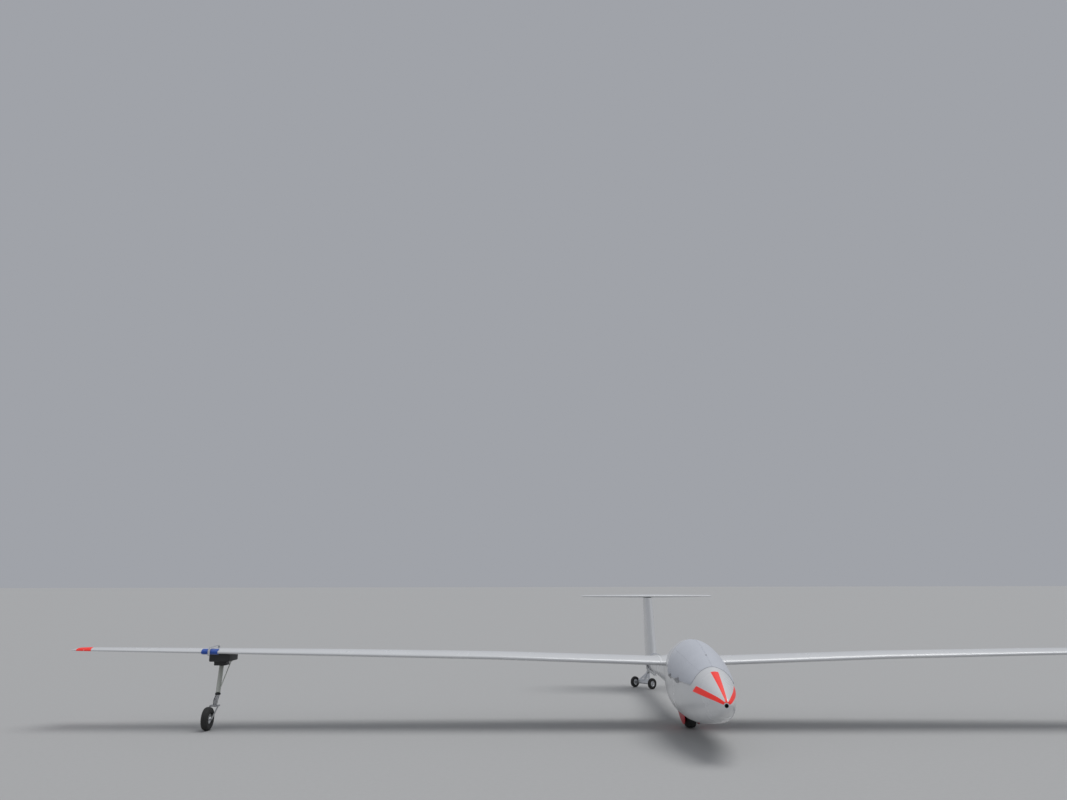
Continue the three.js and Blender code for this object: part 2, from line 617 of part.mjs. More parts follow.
function tailplaneSolid(grow = 0) {
  const ring = (row, side) => wingRing(row, side, grow, 0, 0, 10);
  const right = TAILPLANE.slice(1).reverse().map((row) => ring(row, -1));
  return loft([...right, ...TAILPLANE.map((row) => ring(row, 1))]);
}

function buildTailplane() {
  const { hinge, half } = ELEVATOR;
  const [a, b] = [vec(-half, at(hinge), TAILPLANE[0].z), vec(half, at(hinge), TAILPLANE[0].z)];
  const [mid, tip] = [TAILPLANE[0], TAILPLANE[1]];
  const radius = halfThickness((hinge - tip.lead) / tip.chord, tip.thick) * tip.chord + NOSE_PROUD;
  const wide = halfThickness((hinge - mid.lead) / mid.chord, mid.thick) * mid.chord + NOSE_PROUD;
  const whole = tailplaneSolid();
  // Two cones that overlap a little at the centre plane, widest there
  const spindle = (reach, gap) => [-1, 1].map((side) => rod(
    vec(-side * 2, at(hinge), mid.z), vec(side * reach, at(hinge), mid.z), wide + gap, radius + gap, 28));
  const room = join(aftBlock(a, b, 400, 200), ...spindle(half, RUN_GAP));
  const [a2, b2] = [vec(-half + RUN_GAP, a.y, a.z), vec(half - RUN_GAP, b.y, b.z)];
  let moving = join(aftBlock(a2, b2, 400, 200), ...spindle(half - RUN_GAP, 0)).intersect(whole);
  let fixed = cut(whole, room);
  [[a, 1], [b, -1]].forEach(([p, way]) => {
    const shift = (d) => vec(p.x + way * d, p.y, p.z);
    fixed = join(fixed, rod(shift(-14), shift(30), HINGE_PIN, HINGE_PIN, 12));
    moving = cut(moving, rod(shift(-2), shift(34), HINGE_PIN + PIN_GAP, HINGE_PIN + PIN_GAP, 12));
  });
  add('tailplane', largest(fixed), 'gelcoat');
  add('elevator', largest(moving), 'gelcoat');
}

// Wheels: a tyre and a hub turned about the X axis

function turned(profile, centre, sides = WHEEL_SIDES) {
  const geometry = new THREE.LatheGeometry(profile.map(([r, x]) => new THREE.Vector2(r, x)), sides);
  geometry.rotateZ(-Math.PI / 2);
  geometry.translate(centre.x, centre.y, centre.z);
  return solid(geometry);
}

function tyre(radius, width, rim, centre) {
  const [w, crown] = [width / 2, radius];
  const bulge = (radius - rim) / 2;
  const half = [[rim, 0.62], [rim + bulge, 1], [crown - bulge * 0.28, 0.78], [crown, 0.34]];
  const right = half.map(([r, share]) => [r, -w * share]);
  const left = half.map(([r, share]) => [r, w * share]).reverse();
  const profile = [...right, ...left, right[0]];
  return turned(profile, centre);
}

function hub(rim, width, bore, centre, reach = width / 2) {
  const w = width / 2;
  const profile = [[bore, -reach], [bore + 9, -reach], [bore + 9, -w * 0.3], [rim * 0.82, -w * 0.3],
    [rim - SEAT_GAP, -w * 0.6], [rim - SEAT_GAP, w * 0.6], [rim * 0.82, w * 0.3], [bore + 9, w * 0.3],
    [bore + 9, reach], [bore, reach], [bore, -reach]];
  return turned(profile, centre);
}

function buildMainGear() {
  const { s, radius, width, rim, bore } = MAIN_WHEEL;
  const centre = vec(0, at(s), radius);
  add('main_wheel_tyre', tyre(radius, width, rim, centre), 'rubber');
  add('main_wheel_hub', hub(rim, width, bore, centre, GEAR_LEG.x - 8), 'silver');
  const { x, thick, width: legWidth } = GEAR_LEG;
  const legs = [-1, 1].map((side) => box(
    side * x - thick / 2, side * x + thick / 2, s - legWidth / 2, s + legWidth / 2, radius - 30,
    WELL.roof - SEAT_GAP));
  const bar = box(-x, x, s - 20, s + 20, WELL.roof - 26, WELL.roof - SEAT_GAP);
  const axle = rod(vec(-x - 16, centre.y, centre.z), vec(x + 16, centre.y, centre.z), bore - PIN_GAP);
  add('main_gear_legs', join(...legs, bar, axle), 'silver');
}

function buildGearDoor(side, label) {
  const { front, rear, top, edge: low, drop, thick, x, lean } = GEAR_DOOR;
  const shape = new THREE.Shape();
  shape.moveTo(front, top);
  shape.lineTo(front, low);
  shape.bezierCurveTo(front + 10, low - drop * 0.8, front + 120, low - drop, front + 210, low - drop);
  shape.bezierCurveTo(front + 340, low - drop, rear - 60, low - drop * 0.55, rear, low);
  shape.lineTo(rear, top);
  const options = { depth: thick, bevelEnabled: false, curveSegments: 10 };
  const geometry = new THREE.ExtrudeGeometry(shape, options).applyMatrix4(SIDE_VIEW);
  geometry.translate(-thick / 2, at(0), -low);
  geometry.rotateY(THREE.MathUtils.degToRad(side * lean));
  geometry.translate(side * x, 0, low);
  const panel = cut(solid(geometry), hull(SEAT_GAP));
  add(`gear_door_${label}`, largest(panel), 'red');
}

// Belly hook ahead of the wheel well, with a flat face underneath
function buildTowHook() {
  const { s, half, length, low } = TOW_HOOK;
  const block = box(-half, half, s - length / 2, s + length / 2, low, 300);
  add('tow_hook', largest(cut(block, hull(SEAT_GAP))), 'silver');
}

function tailWheelSlot() {
  const { s, radius, width, z } = TAIL_WHEEL;
  const half = width / 2 + 6;
  const room = radius + 8;
  const arch = rod(vec(-half, at(s), z), vec(half, at(s), z), room, room, 28);
  return join(box(-half, half, s - room, s + room, 300, z), arch);
}

function tailWheelAxle() {
  const { s, z, width, bore } = TAIL_WHEEL;
  return rod(vec(-width / 2 - 12, at(s), z), vec(width / 2 + 12, at(s), z), bore);
}

function buildTailWheel() {
  const { s, z, radius, width, rim, bore } = TAIL_WHEEL;
  const centre = vec(0, at(s), z);
  add('tail_wheel_tyre', tyre(radius, width, rim, centre), 'rubber');
  add('tail_wheel_hub', hub(rim, width, bore + PIN_GAP, centre, width / 2 + 4), 'silver');
}

// Tail dolly: two half shells round the boom, a swivel and twin wheels on one axle

function buildDolly() {
  const { front, rear, shell, post, postRadius, deck, keel: keelLow, keelDeep } = DOLLY;
  const boom = hull(SEAT_GAP);
  const ring = cut(hull(shell, front, rear, 3), boom);
  const { wide } = section((front + rear) / 2);
  const under = box(-300, 300, front - 40, rear + 40, 100, wide - 0.2);
  const over = box(-300, 300, front - 40, rear + 40, wide + 0.2, 900);
  const keel = new THREE.Shape();
  keel.moveTo(front + 8, 345);
  keel.lineTo(rear, keelLow);
  keel.lineTo(post + 40, keelLow);
  keel.lineTo(post + 40, keelLow + keelDeep);
  keel.lineTo(rear + 40, keelLow + keelDeep);
  keel.lineTo(rear, 400);
  keel.lineTo(front + 8, 400);
  const pad = box(-34, 34, post - 68, post + 12, keelLow + keelDeep - 10, 400);
  const web = cut(join(sideCut(keel, -11, 11), pad), boom);
  const sleeve = rod(vec(0, at(post), deck), vec(0, at(post), keelLow + keelDeep), postRadius);
  const ears = (z0, z1) => [-1, 1].map((side) => box(
    side * 128 - 22, side * 128 + 22, front + 30, rear - 30, z0, z1));
  const hold = cut(join(...ears(wide - 9, wide - 0.2)), boom);
  add('dolly_cradle', largest(join(ring.intersect(under), web, sleeve, hold)), 'silver');
  const clasp = cut(join(...ears(wide + 0.2, wide + 9)), boom);
  add('dolly_strap', largest(join(ring.intersect(over), clasp)), 'blue');
  buildDollyWheels();
}

function buildDollyWheels() {
  const { post, deck, wheel, width, rim, track, trail, turned: angle, axle } = DOLLY;
  const pivot = vec(0, at(post), 0);
  const swing = (body) => body.translate([0, -pivot.y, 0]).rotate([0, 0, angle]).translate([0, pivot.y, 0]);
  const s = post + trail;
  const hubRun = width / 2 + 4;
  const onAxle = (x) => vec(x, at(s), wheel);
  const bearing = rod(onAxle(-track + hubRun + 5), onAxle(track - hubRun - 5), axle + 9);
  const [head, edge] = [deck - 14, wheel + 16];
  const ring = (half, place, top) => [[-1, 0], [1, 0], [1, -9], [-1, -9]].map(
    ([side, drop]) => vec(side * half, at(place), top + drop));
  const plate = loft([ring(30, post, head), ring(148, s, edge)]);
  const side = new THREE.Shape();
  side.moveTo(post - 24, head);
  side.lineTo(post + 24, head);
  side.lineTo(s + 8, wheel + 10);
  side.lineTo(s - 8, wheel + 4);
  const web = sideCut(side, -5, 5);
  const disc = rod(vec(0, at(post), head - 4), vec(0, at(post), deck - SEAT_GAP), 34);
  const bore = rod(onAxle(-track), onAxle(track), axle + PIN_GAP);
  add('dolly_yoke', swing(largest(cut(join(bearing, plate, web, disc), bore))), 'silver');
  const hubs = [-1, 1].map((way) => hub(rim, width, 2, vec(way * track, at(s), wheel), hubRun));
  const shaft = rod(onAxle(-track - hubRun), onAxle(track + hubRun), axle);
  add('dolly_wheel_axle', swing(join(...hubs, shaft)), 'silver');
  [['right', -1], ['left', 1]].forEach(([label, way]) => {
    add(`dolly_tyre_${label}`, swing(tyre(wheel, width, rim, vec(way * track, at(s), wheel))), 'rubber');
  });
}

// Wing wheel: board, pad and arm held to the right wing, a mast and a castoring wheel

function buildWingWheel() {
  const w = WING_WHEEL;
  const near = (grow) => loft([wingRow(5300), wingRow(6000)].map((row) => wingRing(row, -1, grow)));
  const [bare, padded] = [near(1.2), near(13)];
  const { lead, z: wingHeight } = wingRow(-w.padX);
  const [from, to] = [w.boardX - w.boardHalf, w.boardX + w.boardHalf];
  const board = box(from, to, w.boardFront, w.boardRear, w.boardLow, wingHeight - 5);
  add('wing_wheel_board', largest(cut(board, bare)), 'black');
  const nose = box(
    w.padX - w.padHalf, w.padX + w.padHalf, lead - 60, lead + 62, wingHeight - 90, wingHeight + 90);
  add('wing_wheel_pad', largest(cut(padded, bare).intersect(nose)), 'blue');
  const { half, ...bar } = CLAMP_BAR;
  const arm = sideCut(clampBarOutline(lead, wingHeight, bar), w.padX - half, w.padX + half);
  add('wing_wheel_arm', largest(cut(arm, bare, near(13.4).intersect(nose))), 'silver');
  add('wing_wheel_mast', largest(wingWheelMast()), 'silver');
  buildWingCastor();
}

// Side view of the bar that hooks round the leading edge, arches aft and stands on the wing
function clampBarOutline(lead, height, { thick, ahead, hook, shoulder, crest, foot, reach }) {
  const shape = new THREE.Shape();
  shape.moveTo(lead - ahead, height + hook);
  shape.lineTo(lead - ahead, height + 16);
  shape.quadraticCurveTo(lead - ahead, height + shoulder, lead + 40, height + shoulder + 5);
  shape.lineTo(lead + reach - 90, height + crest);
  shape.quadraticCurveTo(lead + reach - 40, height + crest, lead + reach - 30, height + foot + 14);
  shape.lineTo(lead + reach, height + foot);
  shape.lineTo(lead + reach, height);
  shape.lineTo(lead + reach - 30 - thick, height);
  shape.lineTo(lead + reach - 30 - thick, height + foot + 12);
  shape.quadraticCurveTo(
    lead + reach - 46, height + crest - thick, lead + reach - 92, height + crest - thick);
  shape.lineTo(lead + 42, height + shoulder + 5 - thick);
  shape.quadraticCurveTo(lead - ahead + thick, height + shoulder - thick, lead - ahead + thick, height + 14);
  shape.lineTo(lead - ahead + thick, height + hook);
  return shape;
}

// Tube with its head plate, brace and collar, and the sleeve and pin that the castor turns on
function wingWheelMast() {
  const w = WING_WHEEL;
  const head = w.boardLow - w.headDeep;
  const [top, foot] = [vec(w.x + w.mastLean, at(w.mastTop), head), vec(w.x, at(w.mastFoot), w.foot)];
  const under = w.boardLow - SEAT_GAP;
  const plate = box(top.x - 70, top.x + 76, w.mastTop - 80, w.mastTop + 60, head, under);
  const braceTop = vec(top.x + 120, at(w.mastTop - 20), under - 6);
  const brace = rod(braceTop, foot.clone().add(vec(8, 0, 10)), 6, 6, 10);
  const braceHead = box(top.x, top.x + 130, w.mastTop - 34, w.mastTop - 6, under - 14, under);
  const collar = rod(foot, foot.clone().add(vec(0, 0, -22)), w.mastRadius + 5);
  const plates = [-1, 1].map((side) => {
    const shape = new THREE.Shape();
    shape.moveTo(w.mastFoot + 24, w.foot - 14);
    shape.lineTo(w.mastFoot - 26, w.foot - 14);
    shape.lineTo(w.pivot - 22, w.crown + 62);
    shape.lineTo(w.pivot - 22, w.crown + 8);
    shape.lineTo(w.pivot + 26, w.crown + 8);
    return sideCut(shape, w.x + side * 14 - 3, w.x + side * 14 + 3);
  });
  const sleeve = rod(vec(w.x, at(w.pivot), w.crown + 5), vec(w.x, at(w.pivot), w.crown + 66), 19);
  const pin = rod(vec(w.x, at(w.pivot), w.crown - 18), vec(w.x, at(w.pivot), w.crown + 20), w.pin);
  return join(rod(top, foot, w.mastRadius), plate, brace, braceHead, collar, ...plates, sleeve, pin);
}

function buildWingCastor() {
  const w = WING_WHEEL;
  const out = w.width / 2 + 9;
  const sides = [w.x - out - 4, w.x + out + 4];
  const crown = box(...sides, w.pivot - 34, w.pivot + 30, w.crown - 12, w.crown + 4.6);
  const legs = [-1, 1].map((side) => {
    const shape = new THREE.Shape();
    shape.moveTo(w.pivot - 34, w.crown + 4);
    shape.lineTo(w.axle - 16, w.wheel + 4);
    shape.lineTo(w.axle - 10, w.wheel - 16);
    shape.lineTo(w.axle + 14, w.wheel - 14);
    shape.lineTo(w.pivot + 10, w.crown + 4);
    return sideCut(shape, w.x + side * out - 3, w.x + side * out + 3);
  });
  const onPivot = (z) => vec(w.x, at(w.pivot), z);
  const onAxle = (x) => vec(x, at(w.axle), w.wheel);
  const bore = rod(onPivot(w.crown - 20), onPivot(w.crown + 30), w.pin + PIN_GAP);
  const axle = rod(onAxle(w.x - out - 10), onAxle(w.x + out + 10), w.bore - PIN_GAP);
  add('wing_wheel_fork', largest(join(cut(crown, bore), ...legs, axle)), 'silver');
  const centre = vec(w.x, at(w.axle), w.wheel);
  add('wing_wheel_tyre', tyre(w.wheel, w.width, w.rim, centre), 'rubber');
  add('wing_wheel_hub', hub(w.rim, w.width, w.bore, centre, w.width / 2 + 3), 'silver');
}

const rudderRoom = buildFin();
buildFuselage(rudderRoom);
buildCanopy();
buildSeat();
buildPanel();
buildControls();
buildLevers();
buildWing(-1, 'right');
buildWing(1, 'left');
buildTailplane();
buildMainGear();
buildGearDoor(-1, 'right');
buildGearDoor(1, 'left');
buildTowHook();
buildTailWheel();
buildDolly();
buildWingWheel();

export default glider;
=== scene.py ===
import math
from math import cos, pi, radians, sin, sqrt, tau

import bmesh
import bpy
from mathutils import Matrix, Vector


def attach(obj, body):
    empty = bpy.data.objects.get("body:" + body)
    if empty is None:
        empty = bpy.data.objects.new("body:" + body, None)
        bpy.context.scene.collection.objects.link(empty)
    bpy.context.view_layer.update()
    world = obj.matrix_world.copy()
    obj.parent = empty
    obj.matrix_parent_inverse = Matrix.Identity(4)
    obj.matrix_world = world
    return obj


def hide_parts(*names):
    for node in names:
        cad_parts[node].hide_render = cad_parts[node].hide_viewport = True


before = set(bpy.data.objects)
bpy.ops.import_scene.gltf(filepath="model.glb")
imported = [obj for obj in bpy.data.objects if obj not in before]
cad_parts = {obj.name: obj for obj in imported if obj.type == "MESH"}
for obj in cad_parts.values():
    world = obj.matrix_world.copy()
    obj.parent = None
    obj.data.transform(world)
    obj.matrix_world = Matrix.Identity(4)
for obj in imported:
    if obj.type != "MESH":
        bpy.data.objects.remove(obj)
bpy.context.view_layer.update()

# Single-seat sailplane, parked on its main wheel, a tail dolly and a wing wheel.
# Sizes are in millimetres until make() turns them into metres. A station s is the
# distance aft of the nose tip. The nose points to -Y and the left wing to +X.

MM = 0.001
LENGTH = 6520

# Fuselage sections: station, half width, top, height of the widest line, bottom, and the
# powers of the curves above and below that line, where 2 is an ellipse and more is squarer
FUSELAGE = [
    (0, 24, 553, 530, 507, 2.0, 2.2), (100, 92, 622, 537, 428, 1.95, 2.3),
    (315, 160, 713, 553, 345, 1.86, 2.6), (580, 216, 811, 586, 284, 1.8, 2.9),
    (990, 279, 931, 630, 226, 1.79, 3.0), (1300, 302, 1002, 648, 211, 1.79, 3.05),
    (1620, 310, 1033, 661, 208, 1.79, 3.05), (2030, 292, 1015, 666, 217, 1.8, 3.0),
    (2400, 247, 945, 640, 245, 1.86, 2.8), (2800, 192, 843, 594, 290, 1.94, 2.5),
    (3250, 149, 745, 546, 326, 2.0, 2.3), (3800, 126, 676, 510, 342, 2.0, 2.2),
    (4500, 112, 627, 487, 350, 2.0, 2.2), (5300, 98, 588, 474, 364, 2.0, 2.2),
    (6120, 52, 558, 470, 386, 2.0, 2.2),
]
BOOM_END = 6120
RING_POINTS = 96
SKIN = 12
CAVITY = (230, 1880)
RUN_GAP = 5
SEAT_GAP = 0.35

CANOPY_ZONE = (540, 1980)
CANOPY = dict(front=626, rear_low=1700, rear_top=1850, sill=643, crown=1040,
              front_radius=70, rear_radius=170)
RIM, RIM_DEPTH, GLASS_DEPTH = 34, 16, 4
HINGE = dict(x=-324, z=658, pin=5, ring=9, length=44, stations=(1080, 1480))

# Wing sections: span station, leading edge, chord, height, thickness ratio
WING = [
    (334, 1985, 840, 733, 0.118), (2300, 2005, 770, 798, 0.115), (4200, 2030, 680, 835, 0.113),
    (7300, 2140, 370, 885, 0.112), (7420, 2165, 330, 884, 0.104), (7500, 2215, 255, 878, 0.040),
]
CAMBER, CAMBER_PEAK = 0.03, 0.4
INCIDENCE = math.tan(radians(2))
AILERON = dict(inner=4420, outer=7080, hinge=0.79)
BRAKE = dict(inner=2350, outer=3550, at=0.52, cap=30, cap_thick=5, plate=5, gap=5, pocket=60, blade=52)
NOSE_PROUD = 0.7
FLAP_GAP = 2.5

# Fin and rudder together: height, leading edge, trailing edge, thickness ratio
FIN = [(404, 5180, 6412, 0.125), (700, 5335, 6448, 0.135), (1436, 5647, 6525.7, 0.135)]
FIN_BASE = 500
RUDDER = dict(low=410, high=1382, hinge_low=6075, hinge_high=6195)
TAILPLANE = [
    (0, 5840, 515, 1461, 0.105), (1000, 5976, 325, 1461, 0.095),
    (1060, 5992, 302, 1461, 0.085), (1085, 6024, 246, 1461, 0.045),
]
ELEVATOR = dict(hinge=6202, half=1040)

MAIN_WHEEL = dict(s=2150, radius=180, width=124, rim=72, bore=13)
WELL = dict(front=1890, rear=2420, half=92, roof=440)
GEAR_LEG = dict(x=76, thick=9, width=58)
GEAR_DOOR = dict(front=1900, rear=2440, drop=175, thick=7, x=104, lean=6, low=222, top=330)
TAIL_WHEEL = dict(s=5940, z=396, radius=72, width=38, rim=36, bore=6)
DOLLY = dict(front=5070, rear=5205, shell=14, post=6100, post_radius=24, deck=256, keel=278,
             wheel=85, width=50, rim=44, track=190, trail=122, turned=130, axle=9)
WING_WHEEL = dict(x=-5665, board_x=-5657, pad_x=-5750, board_half=123, board_front=2162,
                  board_rear=2480, board_low=750, pad_half=105, mast_top=2390, mast_foot=2235,
                  head_deep=56, foot=385, mast_radius=27, mast_lean=-34, pivot=2165, crown=252, axle=1958,
                  wheel=130, width=78, rim=58, bore=8)


# Meshes

def placed(x, s, z):
    """A place given in millimetres, in Blender's metres."""
    return Vector((x * MM, (s - LENGTH / 2) * MM, z * MM))


def link(name, data):
    """An object that holds the data, put in the scene."""
    made = bpy.data.objects.new(name, data)
    bpy.context.collection.objects.link(made)
    return made


def outward(mesh):
    """Welds points that coincide and turns the faces outwards."""
    work = bmesh.new()
    work.from_mesh(mesh)
    bmesh.ops.remove_doubles(work, verts=work.verts, dist=1e-6)
    bmesh.ops.recalc_face_normals(work, faces=work.faces)
    work.to_mesh(mesh)
    work.free()


def make(name, points, faces, uv=None):
    """An object from points (x, s, z) in millimetres, its faces turned outwards."""
    mesh = bpy.data.meshes.new(name)
    mesh.from_pydata([placed(*point) for point in points], [], faces)
    if uv:
        layer = mesh.uv_layers.new(name="cloth")
        for loop, place in zip(mesh.loops, layer.uv):
            place.vector = uv[loop.vertex_index]
    outward(mesh)
    return link(name, mesh)


def settle(piece):
    """Turns a piece with modifiers into a plain mesh."""
    view = bpy.context.evaluated_depsgraph_get()
    mesh = bpy.data.meshes.new_from_object(piece.evaluated_get(view))
    piece.modifiers.clear()
    piece.data = mesh
    return piece


def combine(piece, tools, operation):
    for tool in tools:
        step = piece.modifiers.new(operation, "BOOLEAN")
        step.operation = operation
        step.solver = "MANIFOLD"
        step.object = tool
    settle(piece)
    for tool in tools:
        bpy.data.objects.remove(tool)
    return piece


def cut(piece, *tools):
    return combine(piece, tools, "DIFFERENCE")


def join(piece, *tools):
    return combine(piece, tools, "UNION")


def keep(piece, *tools):
    return combine(piece, tools, "INTERSECT")


def round_edges(piece, width, segments=2, angle=40):
    bevel = piece.modifiers.new("edges", "BEVEL")
    bevel.width = width * MM
    bevel.segments = segments
    bevel.limit_method = "ANGLE"
    bevel.angle_limit = radians(angle)
    return settle(piece)


def loft(name, rings):
    """A body through rings of equal point counts, with a flat face at both ends."""
    count = len(rings[0])
    faces = []
    for r in range(len(rings) - 1):
        for i in range(count):
            j = (i + 1) % count
            faces.append((r * count + i, r * count + j, (r + 1) * count + j, (r + 1) * count + i))
    faces.append(tuple(range(count)))
    faces.append(tuple((len(rings) - 1) * count + i for i in range(count)))
    return make(name, [p for ring in rings for p in ring], faces)


def block(name, x0, x1, s0, s1, z0, z1):
    return loft(name, [[(x, s0, z0), (x, s1, z0), (x, s1, z1), (x, s0, z1)] for x in (x0, x1)])


def side_solid(name, outline, x0, x1):
    """A side view outline of (station, height) pushed through from x0 to x1."""
    return loft(name, [[(x, s, z) for s, z in outline] for x in (x0, x1)])


def rod(name, start, end, radius, end_radius=None, sides=32):
    start, end = Vector(start), Vector(end)
    along = (end - start).normalized()
    across = along.orthogonal().normalized()
    up = along.cross(across)
    turns = [(cos(tau * i / sides), sin(tau * i / sides)) for i in range(sides)]
    tip = radius if end_radius is None else end_radius
    return loft(name, [[p + (across * c + up * q) * r for c, q in turns]
                       for p, r in ((start, radius), (end, tip))])


def spin(name, profile, base, direction, sides=64, closed=False):
    """A form turned round a line. Profile pairs are a radius and a distance along the line."""
    base, along = Vector(base), Vector(direction).normalized()
    across = along.orthogonal().normalized()
    up = along.cross(across)
    turns = [across * cos(tau * i / sides) + up * sin(tau * i / sides) for i in range(sides)]
    rings = [[base + along * d + turn * r for turn in turns] for r, d in profile]
    if not closed:
        return loft(name, rings)
    faces = []
    for r in range(len(rings)):
        for i in range(sides):
            n, j = (r + 1) % len(rings), (i + 1) % sides
            faces.append((r * sides + i, r * sides + j, n * sides + j, n * sides + i))
    return make(name, [p for ring in rings for p in ring], faces)


def plate(name, outer, inner, uv=None):
    """A thin closed body between two grids of points, with the grid's own UV places in metres."""
    rows, columns = len(outer), len(outer[0])
    half = rows * columns

    def spot(r, c, side=0):
        return side * half + r * columns + c

    faces = []
    for r in range(rows - 1):
        for c in range(columns - 1):
            faces.append((spot(r, c), spot(r + 1, c), spot(r + 1, c + 1), spot(r, c + 1)))
            faces.append((spot(r, c, 1), spot(r, c + 1, 1), spot(r + 1, c + 1, 1), spot(r + 1, c, 1)))
    border = [(0, c) for c in range(columns)] + [(r, columns - 1) for r in range(1, rows)]
    border += [(rows - 1, c) for c in range(columns - 2, -1, -1)] + [(r, 0) for r in range(rows - 2, 0, -1)]
    for a, b in zip(border, border[1:] + border[:1]):
        faces.append((spot(*a), spot(*b), spot(*b, 1), spot(*a, 1)))
    places = [p for grid in (outer, inner) for row in grid for p in row]
    flat = [p for row in uv for p in row] * 2 if uv else None
    return make(name, places, faces, flat)


def merged(name, *pieces):
    """One object from several bodies that may touch, with no boolean."""
    work = bmesh.new()
    for piece in pieces:
        work.from_mesh(piece.data)
        bpy.data.objects.remove(piece)
    mesh = bpy.data.meshes.new(name)
    work.to_mesh(mesh)
    work.free()
    return link(name, mesh)


def path_mesh(name, points, closed=False, joined=True):
    """A bare line of points for a rule to follow, or the points alone."""
    mesh = bpy.data.meshes.new(name)
    edges = [(i, i + 1) for i in range(len(points) - 1)] if joined else []
    if closed:
        edges.append((len(points) - 1, 0))
    mesh.from_pydata([placed(*point) for point in points], edges, [])
    return link(name, mesh)


def ribbon(name, points, ups, width, thick):
    """A flat strap through points, each with the direction that its face looks to."""
    points, ups = [Vector(p) for p in points], [Vector(u).normalized() for u in ups]
    fine, faces_up = [], []
    for i in range(len(points) - 1):
        p = [points[max(i - 1, 0)], points[i], points[i + 1], points[min(i + 2, len(points) - 1)]]
        for k in range(8):
            t = k / 8
            fine.append(0.5 * (2 * p[1] + (p[2] - p[0]) * t + (2 * p[0] - 5 * p[1] + 4 * p[2] - p[3]) * t**2
                               + (3 * p[1] - p[0] - 3 * p[2] + p[3]) * t**3))
            faces_up.append(ups[i].lerp(ups[i + 1], t))
    fine.append(points[-1])
    faces_up.append(ups[-1])
    outer, inner, uv, run = [], [], [], 0.0
    for i, (p, up) in enumerate(zip(fine, faces_up)):
        along = (fine[min(i + 1, len(fine) - 1)] - fine[max(i - 1, 0)]).normalized()
        side = along.cross(up).normalized()
        over = side.cross(along).normalized()
        run += (p - fine[i - 1]).length if i else 0
        shares = (-0.5, -0.46, 0, 0.46, 0.5)
        lift = (0.35, 0.5, 0.5, 0.5, 0.35)
        outer.append([p + side * (k * width) + over * (f * thick) for k, f in zip(shares, lift)])
        inner.append([p + side * (k * width) - over * (f * thick) for k, f in zip(shares, lift)])
        uv.append([(k * width * MM, run * MM) for k in shares])
    return plate(name, outer, inner, uv)


def turn_about(piece, centre, axis, degrees):
    """Turns a piece's mesh about an axis through a centre, given in millimetres."""
    middle = placed(*centre)
    turn = Matrix.Rotation(radians(degrees), 4, axis)
    piece.data.transform(Matrix.Translation(middle) @ turn @ Matrix.Translation(-middle))
    return piece


# Fuselage form

def smooth(column, s):
    """A fuselage column's value at a station, without overshoot. Roots of stations keep the nose round."""
    x = [sqrt(row[0]) for row in FUSELAGE]
    y = [row[column] for row in FUSELAGE]
    place = sqrt(max(s, 0))
    if place <= x[0]:
        return y[0]
    if place >= x[-1]:
        return y[-1]
    slope = [(y[i + 1] - y[i]) / (x[i + 1] - x[i]) for i in range(len(x) - 1)]
    tangent = [slope[0]]
    for a, b in zip(slope, slope[1:]):
        tangent.append(0 if a * b <= 0 else 2 * a * b / (a + b))
    tangent.append(slope[-1])
    i = next(k for k in range(len(x) - 1) if place <= x[k + 1])
    h = x[i + 1] - x[i]
    t = (place - x[i]) / h
    return ((2 * t**3 - 3 * t**2 + 1) * y[i] + (t**3 - 2 * t**2 + t) * h * tangent[i]
            + (3 * t**2 - 2 * t**3) * y[i + 1] + (t**3 - t**2) * h * tangent[i + 1])


def section(s):
    """Half width, top, widest line, bottom and both powers of the fuselage at a station."""
    return [smooth(column, s) for column in range(1, 7)]


def power(value, exponent):
    return math.copysign(abs(value) ** exponent, value)


def hull_point(s, angle, grow=0.0):
    half, top, wide, low, up, down = section(s)
    c, q = cos(angle), sin(angle)
    exponent = 2 / (up if q >= 0 else down)
    reach = top + grow - wide if q >= 0 else wide - low + grow
    return ((half + grow) * power(c, exponent), s, wide + reach * power(q, exponent))


def hull(name, grow=0.0, start=0.0, end=BOOM_END, steps=60):
    """The fuselage's form between two stations, grown or shrunk."""
    a, b = sqrt(start), sqrt(end)
    stations = [(a + (b - a) * i / steps) ** 2 for i in range(steps + 1)]
    return loft(name, [[hull_point(s, tau * i / RING_POINTS, grow) for i in range(RING_POINTS)]
                       for s in stations])


def bend(p, q, r, steps=8, first=1):
    """Points of a quadratic curve from p towards q to r, without p unless first is 0."""
    pairs = []
    for i in range(first, steps + 1):
        t = i / steps
        pairs.append(tuple((1 - t)**2 * p[k] + 2 * t * (1 - t) * q[k] + t**2 * r[k] for k in (0, 1)))
    return pairs


CANOPY_LEAN = (CANOPY["rear_top"] - CANOPY["rear_low"]) / (CANOPY["crown"] - CANOPY["sill"])


def canopy_corners(inset):
    """The canopy's edge in side view, shrunk inwards: front station, low line, radii, and the rear edge."""
    c = CANOPY
    shift = inset * math.hypot(1, CANOPY_LEAN)

    def rear(z):
        return c["rear_low"] + CANOPY_LEAN * (z - c["sill"]) - shift

    return c["front"] + inset, c["sill"] + inset, c["front_radius"], c["rear_radius"], rear


def canopy_outline(inset):
    """Side view of all that the canopy's edge encloses, as (station, height) pairs."""
    start, low, fr, rr, rear = canopy_corners(inset)
    roof = CANOPY["crown"] + 255
    corners = bend((start, low + fr), (start, low), (start + fr, low), 10, 0)
    corners += bend((rear(low) - rr, low), (rear(low), low), (rear(low + rr), low + rr), 10, 0)
    return [(start, roof), *corners, (rear(roof), roof)]


def cabin_room():
    """The space inside the skin that cockpit pieces stay in."""
    return hull("room", -SKIN - SEAT_GAP, CAVITY[0] + 1, CAVITY[1] - 1)


def canopy_region(name, inset):
    """All that the canopy's edge encloses in side view, shrunk inwards."""
    return side_solid(name, canopy_outline(inset), -420, 420)


# Wing and tail form

